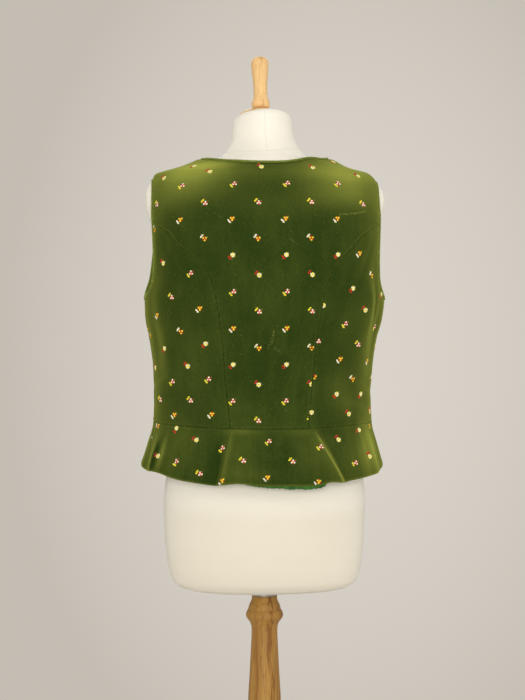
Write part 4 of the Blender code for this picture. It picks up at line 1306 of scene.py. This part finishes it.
def embroider(name, sheet, places, bottom, top, lift=None):
    # lays the stitches of each sprig on the cloth, and leaves out those past the piece's edges
    startEdge, endEdge = sprigEdges[sheet]
    made = {kind: sprigStitches(kind) for kind in range(len(sprigKinds))}
    local, centre, colours = [], [], []
    for place in places:
        for points, colour in made[place[2]]:
            local.append(points)
            centre.append(place)
            colours.append(threadColours[colour])
    local, centre = np.array(local), np.array(centre)
    angle, height, lean = centre[:, 0], centre[:, 1], centre[:, 3][:, None]
    across, upward = slopesAt(garment, angle, height)
    width = np.linalg.norm(across, axis=1)
    right = across / width[:, None]
    sideways = (upward * right).sum(1)
    rise = np.linalg.norm(upward - right * sideways[:, None], axis=1)
    along = (local[..., 0] * np.cos(lean) - local[..., 1] * np.sin(lean)) / 1000
    up = (local[..., 0] * np.sin(lean) + local[..., 1] * np.cos(lean)) / 1000 / rise[:, None]
    angles = angle[:, None] + (along - sideways[:, None] * up) / width[:, None]
    heights = height[:, None] + up
    middle, level = angles.mean(1), heights.mean(1)
    margin, sideMargin = sprigMargins
    kept = (level > bottom(middle) + margin) & (level < top(middle) - margin)
    kept &= (middle - startEdge(level)) * width > sideMargin
    kept &= (endEdge(level) - middle) * width > sideMargin
    angles, heights = angles[kept], heights[kept]
    extra = lift(angles, heights) if lift else 0.0
    points = clothPoint(angles, heights, local[kept][..., 2] / 1000 + extra)
    count = len(points)
    faces = (stitchFaces[None] + 12 * np.arange(count)[:, None, None]).reshape(-1, 4)
    shades = np.ones((count, 12, 4))
    shades[..., :3] = np.array(colours)[kept][:, None]
    points, shades = points.reshape(-1, 3), shades.reshape(-1, 4)
    meshObject(name, points, faces, thread, colours=shades)
    print(name, count, "stitches")


backLattice = {
    "rows": (-1, 14), "columns": (-2, 3),
    "firstHeight": 0.9894, "firstColumns": (-0.0182, 0.0220), "firstKind": 2,
}
frontLattice = {
    "rows": (0, 19), "columns": (-1, 4),
    "firstHeight": 0.90948, "firstColumns": (0.057, 0.019), "firstKind": 5,
}


def backDrift(height):
    # the rows drift to one side near the shoulders and over the waist
    high, low = smooth((height - 1.275) / 0.085), 1 - smooth((height - 1.17) / 0.09)
    return 0.0060 * float(high) + 0.0023 * float(low)


def backClimb(angle, height):
    # the pattern climbs a little to the right and drops to the left near the shoulders
    if angle > math.pi / 2:
        return 0.0003 + 0.0028 * abs(math.cos(angle)) * float(smooth((height - 1.10) / 0.12))
    return -0.0040 * abs(math.cos(angle)) * float(smooth((height - 1.25) / 0.12))


def backPlaces():
    # the level rows, less those whose places the shoulder chart gives
    places = [(math.radians(angle), height, kind, lean) for angle, height, kind, lean in shoulderChart]
    rows = rowPlaces(math.pi / 2, 1, shift=backDrift, **backLattice)
    return [
        (angle, height + backClimb(angle, height), kind, lean) for angle, height, kind, lean in rows
        if angle < math.radians(130) and (kind != 2 or angle > math.radians(38))
    ] + places


def peplumPlaces():
    # the flared peplum is cut on an arc, so its sprigs lean outwards from the centre
    return [
        (math.radians(angle), height, kind, math.radians(90 - angle) * 0.48)
        for angle, height, kind in peplumChart
    ]


def buildSprigs():
    def sideTop(angles):
        return np.full(np.shape(angles), princessEnd)

    def shoulderTop(angles):
        return np.full(np.shape(angles), cut["neckPoint"] - 0.002)

    left = rowPlaces(-math.pi / 2, 1, **frontLattice)
    right = rowPlaces(1.5 * math.pi, -1, **frontLattice)
    embroider("sprigsBackCentre", "velvetBackCentre", backPlaces(), waistHeight, neckHeight)
    embroider("sprigsBackSideLeft", "velvetBackSideLeft", columnPlaces(leftColumns), waistHeight, sideTop)
    embroider("sprigsBackSideRight", "velvetBackSideRight", columnPlaces(rightColumns), waistHeight, sideTop)
    embroider("sprigsPeplum", "velvetPeplum", peplumPlaces(), hemHeight, waistHeight)
    embroider("sprigsFrontLeft", "velvetFrontLeft", left, hemHeight, shoulderTop, underLap)
    embroider("sprigsFrontRight", "velvetFrontRight", right, hemHeight, shoulderTop, dartDitch)


buildSprigs()
print("sprigs made")


# stitches along the piped edges

pipingStitch = {
    "length": 1.5, "width": 0.45, "height": 0.28, "pitch": 0.0026,  # the first three in millimetres
    "armholeInside": 0.0021, "neckInside": 0.0013, "colour": rgb(0.020, 0.034, 0.006),
}


def buildStitches(name, angles, heights, inside):
    # short stitches that hold the piping, a little way inside the edge
    surface = clothPoint(angles, heights)
    run = runAlong(surface, 0)
    out = normalAt(garment, angles, heights)
    along = np.gradient(surface, axis=0)
    along /= np.linalg.norm(along, axis=1, keepdims=True)
    inward = -np.cross(along, out)
    starts = np.arange(0.002, run[-1] - 0.003, pipingStitch["pitch"])
    half = pipingStitch["length"] / 2
    template = stitch((-half, 0), (half, 0), pipingStitch["width"], pipingStitch["height"]) / 1000
    points, faces = [], []
    for number, start in enumerate(starts):
        place, ahead, up, inner = (
            np.array([np.interp(start, run, column) for column in table.T])
            for table in (surface, along, out, inward)
        )
        seat = place + inner * inside - up * roller["depth"] * 0.6
        points.append(seat + template[:, :1] * ahead + template[:, 1:2] * inner + template[:, 2:] * up)
        faces.append(stitchFaces + 12 * number)
    colours = np.tile(pipingStitch["colour"], (12 * len(starts), 1))
    meshObject(name, np.concatenate(points), np.concatenate(faces), thread, colours=colours)


for name, side in (("stitchesArmholeLeft", 1), ("stitchesArmholeRight", -1)):
    buildStitches(name, *armholeLine(side, 400), pipingStitch["armholeInside"])
buildStitches("stitchesNeck", *neckLine(), pipingStitch["neckInside"])
print("stitches made")


# pieces turned or pressed, modelled from a round start

def turnedPiece(name, node, profile, sides, material, smoothAngle=38.0):
    # a circle raised ring by ring through (height, radius)
    bpy.ops.object.select_all(action="DESELECT")
    height, radius = profile[0]
    bpy.ops.mesh.primitive_circle_add(vertices=sides, radius=radius, fill_type="NGON", location=(0, 0, height))
    piece = bpy.context.object
    piece.name = piece.data.name = name
    bpy.ops.object.mode_set(mode="EDIT")
    bpy.ops.mesh.select_mode(type="FACE")
    bpy.ops.mesh.select_all(action="SELECT")
    for newHeight, newRadius in profile[1:]:
        bpy.ops.mesh.extrude_region_move(TRANSFORM_OT_translate={"value": (0, 0, newHeight - height)})
        share = newRadius / radius
        bpy.ops.transform.resize(value=(share, share, 1), center_override=(0, 0, newHeight))
        height, radius = newHeight, newRadius
    bpy.ops.mesh.select_all(action="SELECT")
    bpy.ops.mesh.normals_make_consistent(inside=False)
    bpy.ops.object.mode_set(mode="OBJECT")
    bpy.ops.object.transform_apply(location=True, rotation=True, scale=True)
    bpy.ops.object.shade_smooth_by_angle(angle=math.radians(smoothAngle))
    piece.data.materials.append(material)
    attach(piece, "root")
    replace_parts(piece, node)
    return piece


def rounded(profile, steps=5):
    # more rings between the given ones, on a curve through them that never swings past
    points = np.array(profile, float)
    run = np.concatenate([[0.0], np.cumsum(np.linalg.norm(np.diff(points, axis=0), axis=1))])
    curve = Table(np.column_stack([run, points]))
    between = [np.linspace(start, end, steps, endpoint=False) for start, end in zip(run, run[1:])]
    return [tuple(ring) for ring in curve.at(np.concatenate(between + [run[-1:]]))]


# height and radius of each turned piece's rings
postProfile = rounded([
    (0.0300, 0.0200), (0.0360, 0.0240), (0.0420, 0.0260), (0.0560, 0.0270), (0.0680, 0.0215), (0.0800, 0.0200),
    (0.0900, 0.0235), (0.1000, 0.0200), (0.1700, 0.0185), (0.3200, 0.0215), (0.4600, 0.0255), (0.5658, 0.0245),
    (0.6055, 0.0223), (0.6430, 0.0204), (0.6693, 0.0193), (0.6765, 0.0198), (0.6823, 0.0218), (0.6874, 0.0254),
    (0.6905, 0.0272), (0.6934, 0.0278), (0.6965, 0.0273), (0.6993, 0.0262), (0.7002, 0.0258), (0.7008, 0.0249),
    (0.7045, 0.0239), (0.7090, 0.0226), (0.7128, 0.0207), (0.7170, 0.0191), (0.7222, 0.0188),
], 4)
baseProfile = rounded([
    (0.0000, 0.1880), (0.0008, 0.1902), (0.0030, 0.1930), (0.0060, 0.1945), (0.0100, 0.1947), (0.0135, 0.1938),
    (0.0160, 0.1915), (0.0172, 0.1895), (0.0180, 0.1885), (0.0186, 0.1840), (0.0200, 0.1700), (0.0215, 0.1400),
    (0.0235, 0.0950), (0.0258, 0.0600), (0.0285, 0.0470), (0.0294, 0.0455), (0.0297, 0.0430),
], 3)
capProfile = rounded([
    (0.0000, 0.0288), (0.0006, 0.0297), (0.0020, 0.0302), (0.0036, 0.0299), (0.0052, 0.0288), (0.0070, 0.0260),
    (0.0090, 0.0220), (0.0108, 0.0172), (0.0120, 0.0120), (0.0124, 0.0050),
], 4)
knobProfile = rounded([
    (0.0000, 0.0098), (0.0005, 0.0112), (0.0018, 0.0124), (0.0048, 0.0136), (0.0085, 0.0136), (0.0130, 0.0124),
    (0.0180, 0.0110), (0.0283, 0.0103), (0.0400, 0.0108), (0.0588, 0.0126), (0.0690, 0.0133), (0.0745, 0.0128),
    (0.0785, 0.0100), (0.0804, 0.0060), (0.0808, 0.0015),
], 4)


collarProfile = [(0.7226, 0.0190), (0.7229, 0.0196), (0.7290, 0.0197), (0.7316, 0.0190)]
leanings = {  # how far a piece is raised first, where its foot stands, how far it leans back and aside
    "neckCap": (0.0, (0.0076, -0.016, 1.4406), 0.17, 0.055),
    "neckKnob": (0.0116, (0.0042, -0.016, 1.4430), 0.17, 0.008),
}


def turnTo(direction, place):
    turn = Vector((0, 0, 1)).rotation_difference(Vector(direction).normalized()).to_matrix().to_4x4()
    turn.translation = Vector(place)
    return turn


def tipped(piece):
    # leans a turned piece about its foot and moves it to its place, in its mesh
    base, place, leanBack, leanSide = leanings[piece.name]
    bpy.ops.object.select_all(action="DESELECT")
    bpy.context.view_layer.objects.active = piece
    piece.select_set(True)
    bpy.ops.object.mode_set(mode="EDIT")
    bpy.ops.mesh.select_all(action="SELECT")
    bpy.ops.transform.translate(value=(0, 0, base))
    bpy.ops.object.mode_set(mode="OBJECT")
    piece.data.transform(turnTo((leanSide, -leanBack, 1), place))


def buildWood():
    turnedPiece("standPost", "stand_post", postProfile, 72, honeyWood)
    turnedPiece("standBase", "stand_base", baseProfile, 128, boardWood, 30.0)
    turnedPiece("postCollar", "post_collar", collarProfile, 64, collarMetal)
    tipped(turnedPiece("neckCap", "neck_cap", capProfile, 64, lightWood))
    tipped(turnedPiece("neckKnob", "neck_knob", knobProfile, 48, lightWood))


buildWood()
print("wooden pieces made")


# covered buttons and their buttonholes

button = {
    "radius": 0.0075, "dome": 0.0034, "lift": 0.00035, "sides": 40,
    "heights": (1.171, 1.129, 1.087, 1.045, 1.003),
}
buttonShape = [  # height in metres, share of the radius
    (0.0, 0.84), (0.0003, 0.93), (0.0009, 1.0), (0.0014, 0.995), (0.0019, 0.93), (0.0024, 0.80), (0.0029, 0.58),
    (button["dome"] * 0.96, 0.34), (button["dome"], 0.08),
]
buttonhole = {
    "from": -0.0150, "to": 0.0031, "pitch": 0.00055, "colour": rgb(0.050, 0.080, 0.012),
    "near": 0.25, "far": 1.35, "width": 0.62, "height": 0.45,  # each stitch, in millimetres
}


def buildButtons():
    profile = rounded([(height, share * button["radius"]) for height, share in buttonShape], 3)
    front = np.array(1.5 * math.pi)
    for number, height in enumerate(button["heights"], start=1):
        name, node = f"coveredButton{number}", f"button_{number}"
        piece = turnedPiece(name, node, profile, button["sides"], pipingCloth, 60.0)
        cover = piece.data.uv_layers.new(name="cloth")
        for loop in piece.data.loops:
            place = piece.data.vertices[loop.vertex_index].co
            cover.data[loop.index].uv = (place.x, place.y)
        seat = clothPoint(front, np.array(height), np.array(button["lift"]))
        piece.data.transform(turnTo(normalAt(garment, front, np.array(height)), seat))


def buildButtonholes():
    # worked buttonholes in the upper front: a slit's two rows of stitches, mostly under the buttons
    points, faces = [], []
    for height in button["heights"]:
        for x in np.arange(buttonhole["from"], buttonhole["to"], buttonhole["pitch"]):
            for side in (-1, 1):
                near, far = (x * 1000, side * buttonhole["near"]), (x * 1000, side * buttonhole["far"])
                template = stitch(near, far, buttonhole["width"], buttonhole["height"])
                angles = angleAtWidth(1, np.full(12, height), np.abs(template[:, 0]) / 1000)
                angles = 1.5 * math.pi + np.sign(template[:, 0]) * (math.pi / 2 - angles)
                lift = template[:, 2] * 0.8 / 1000
                faces.append(stitchFaces + 12 * len(points))
                points.append(clothPoint(angles, height + template[:, 1] / 1000, lift))
    colours = np.tile(buttonhole["colour"], (12 * len(points), 1))
    meshObject("buttonholes", np.concatenate(points), np.concatenate(faces), thread, colours=colours)


buildButtons()
buildButtonholes()
print("buttons made")


# the jersey form

form = {
    "capHeight": 1.3072, "capDepth": -0.001, "capHalfHeight": 0.0352, "capHalfDepth": 0.0262,
    "capReach": 0.0125, "capRightMore": 0.003,  # the right shoulder cap stands out a little further
    "tilt": 0.17, "lean": 0.055, "tiltFrom": 1.400, "aside": 0.0021, "asideFrom": 1.392,
    "seamDepth": 0.0004, "seamWidth": 0.0009, "neckSeam": 1.3838,
    "hem": 0.7345, "hemRipple": 0.00025, "soft": 0.00035, "slack": 0.0015,
}


def neckSeamHeight(x):
    return form["neckSeam"] + 1.6 * x * x - 0.070 * x


def formRows(low, high):
    # rings close together at the rounded hem, the shoulders, the neck seam and the top
    return np.concatenate([
        low + (0.7700 - low) * np.linspace(0, 1, 22, endpoint=False) ** 1.8,
        np.linspace(0.7700, 1.3350, 120, endpoint=False),
        np.linspace(1.3350, 1.3760, 22, endpoint=False),
        np.linspace(1.3760, 1.3940, 30, endpoint=False),
        np.linspace(1.3940, 1.4340, 16, endpoint=False),
        high - (high - 1.4340) * np.linspace(1, 0, 14) ** 1.6,
    ])


def formAngles():
    # close together at the back and front, where the seam runs
    nearSeam = 90 - np.linspace(10, 0, 14) ** 1.5 / 10 ** 0.5
    quarter = np.concatenate([np.linspace(0, 80, 30, endpoint=False), nearSeam])
    half = np.concatenate([quarter, 180 - quarter[-2::-1]])
    return np.radians(np.concatenate([half, 180 + half[1:-1]]))


def shoulderCap(grid):
    # how far the cap where an arm would start stands out
    along = (grid[..., 1] - form["capDepth"]) / form["capHalfDepth"]
    up = (grid[..., 2] - form["capHeight"]) / form["capHalfHeight"]
    reach = np.where(grid[..., 0] > 0, form["capReach"], form["capReach"] + form["capRightMore"])
    share = np.clip(1 - (along ** 2 + up ** 2) ** 2, 0, None)
    return reach * share * (np.abs(grid[..., 0]) > form["capHalfDepth"])


def formSeams(grid, high):
    # one across the neck's foot, one up the neck's back
    toCross = grid[..., 2] - neckSeamHeight(grid[..., 0])
    back = hump(grid[..., 0] / form["seamWidth"]) * (grid[..., 1] > 0) * smooth(toCross / 0.002)
    back = back * smooth((high - 0.002 - grid[..., 2]) / 0.004)
    return np.maximum(hump(toCross / form["seamWidth"]), back)


def buildForm():
    low, high = torso.places[0], torso.places[-1]
    heights, angles = formRows(low, high)[:, None], formAngles()[None, :]
    grid = sectionPoint(torso, angles, heights)
    normals = normalAt(torso, angles, heights)
    grid[..., 0] += np.copysign(shoulderCap(grid), grid[..., 0])
    seams = formSeams(grid, high)
    ripple = form["hemRipple"] * np.sin(angles * 23) * hump((heights - form["hem"]) / 0.006)
    soft = form["soft"] * np.sin(angles * 3 + 1) * np.sin(heights * 40) * (heights < 1.35)
    grid += normals * (-seams * form["seamDepth"] + ripple + soft)[..., None]
    grid[..., 2] -= form["slack"] * hump((np.abs(grid[..., 0]) - 0.128) / 0.03) * (heights > 1.33)
    grid[..., 0] += form["aside"] * smooth((grid[..., 2] - form["asideFrom"]) / 0.03)
    tilt = smooth((grid[..., 2] - form["tiltFrom"]) / (high - form["tiltFrom"]))
    grid[..., 2] += tilt * (form["tilt"] * (grid[..., 1] + 0.016) - form["lean"] * grid[..., 0])
    rows, columns = grid.shape[:2]
    index = np.arange(rows * columns).reshape(rows, columns)
    run = runAlong(grid, 1)
    uv = np.stack([run - run[:, columns // 4][:, None], runAlong(grid, 0)], -1).reshape(-1, 2)
    # the underside is closed by a narrower ring and a middle point, the top by its own middle point
    under, top = grid[0].mean(0), grid[-1].mean(0)
    ring = under + (grid[0] - under) * 0.45
    points = np.concatenate([grid.reshape(-1, 3), ring, [under], [top]])
    faces = gridQuads(index, wrap=True).tolist()
    ringAt, underAt = rows * columns, rows * columns + columns
    for here in range(columns):
        there = (here + 1) % columns
        faces.append((there, here, ringAt + here, ringAt + there))
        faces.append((ringAt + there, ringAt + here, underAt))
        faces.append((int(index[-1, here]), int(index[-1, there]), underAt + 1))
    uv = np.concatenate([uv, uv[:columns], uv[:1], uv[-1:]])
    # painted shade along the neck seams
    seamLightAndShade = np.concatenate([seams.reshape(-1) * 0.8, np.zeros(columns + 2)])
    made = meshObject("jerseyForm", points, faces, jersey, uv, {"seamLightAndShade": seamLightAndShade})
    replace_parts(made, "form_torso")


buildForm()
print("form made")


# floor, light and camera

view = {"azimuth": 175.7, "distance": 2.6, "height": 1.09, "aside": -0.003, "lens": 89.14}
studio = {
    "backdrop": rgb(0.552, 0.509, 0.451),
    "backdropLight": rgb(0.705, 0.655, 0.588),
    "ambient": rgb(0.97, 0.98, 1.0),
    "ambientStrength": 0.44,
}


def floorLook():
    look = Look("paleFloor")
    clouds = look.noise(look.place(), 2.0, 4.0)
    colour = look.mixed(clouds, rgb(0.60, 0.575, 0.54), rgb(0.66, 0.635, 0.60))
    return look.finish(Base_Color=colour, Roughness=0.85)


def buildFloor():
    bpy.ops.object.select_all(action="DESELECT")
    bpy.ops.mesh.primitive_circle_add(vertices=96, radius=2.6, fill_type="NGON", location=(0, 0, 0))
    floor = bpy.context.object
    floor.name = "floor"
    floor.data.materials.append(floorLook())


def buildWorld():
    world = bpy.data.worlds.new("studio")
    bpy.context.scene.world = world
    look = Look("studio", world)
    x, y, z = look.axes(look.node("ShaderNodeTexCoord", output="Generated"))
    glow = (1 - ((x + 0.11) * (x + 0.11) * 30.0 + z * z * 15.0)).clamped()
    backdrop = look.mixed(glow, studio["backdrop"], studio["backdropLight"])
    seen = look.node("ShaderNodeBackground", {}, {"Color": backdrop})
    ambient = {"Color": studio["ambient"], "Strength": studio["ambientStrength"]}
    light = look.node("ShaderNodeBackground", {}, ambient)
    isCamera = look.node("ShaderNodeLightPath", output="Is Camera Ray")
    both = look.node("ShaderNodeMixShader", {}, {0: isCamera, 1: light, 2: seen})
    look.output(both, "ShaderNodeOutputWorld")


lamps = [  # place, target, size, watts, colour
    ((0.3, 3.4, 1.25), (0, 0, 1.10), 1.6, 60.0, (1.0, 0.985, 0.965)),
    ((0.1, 1.6, 2.9), (0, 0, 1.30), 1.6, 9.0, (1.0, 0.985, 0.96)),
    ((2.3, 0.9, 1.6), (0, 0, 1.20), 1.4, 8.0, (1.0, 0.99, 0.975)),
    ((-2.3, 1.1, 1.8), (0, 0, 1.30), 1.4, 15.0, (0.995, 0.99, 1.0)),
    ((0.0, -2.4, 2.4), (0, 0, 1.1), 1.8, 40.0, (1.0, 0.99, 0.97)),
]


def buildLamps():
    for place, target, size, watts, colour in lamps:
        bpy.ops.object.light_add(type="AREA", location=place)
        lamp = bpy.context.object
        lamp.data.shape = "DISK"
        lamp.data.size = size
        lamp.data.energy = watts
        lamp.data.color = colour
        lamp.rotation_mode = "QUATERNION"
        lamp.rotation_quaternion = (Vector(target) - Vector(place)).to_track_quat("-Z", "Y")


def buildCamera():
    turn = math.radians(view["azimuth"])
    towards = Vector((math.sin(turn), -math.cos(turn), 0))
    right = Vector((math.cos(turn), math.sin(turn), 0))
    place = towards * view["distance"] + right * view["aside"] + Vector((0, 0, view["height"]))
    bpy.ops.object.camera_add(location=place)
    camera = bpy.context.object
    camera.rotation_mode = "QUATERNION"
    camera.rotation_quaternion = (-towards).to_track_quat("-Z", "Y")
    camera.data.sensor_width = 36.0
    camera.data.lens = view["lens"]
    bpy.context.scene.camera = camera


buildFloor()
buildWorld()
buildLamps()
buildCamera()
bpy.context.scene.view_settings.view_transform = "Standard"

print("scene done")
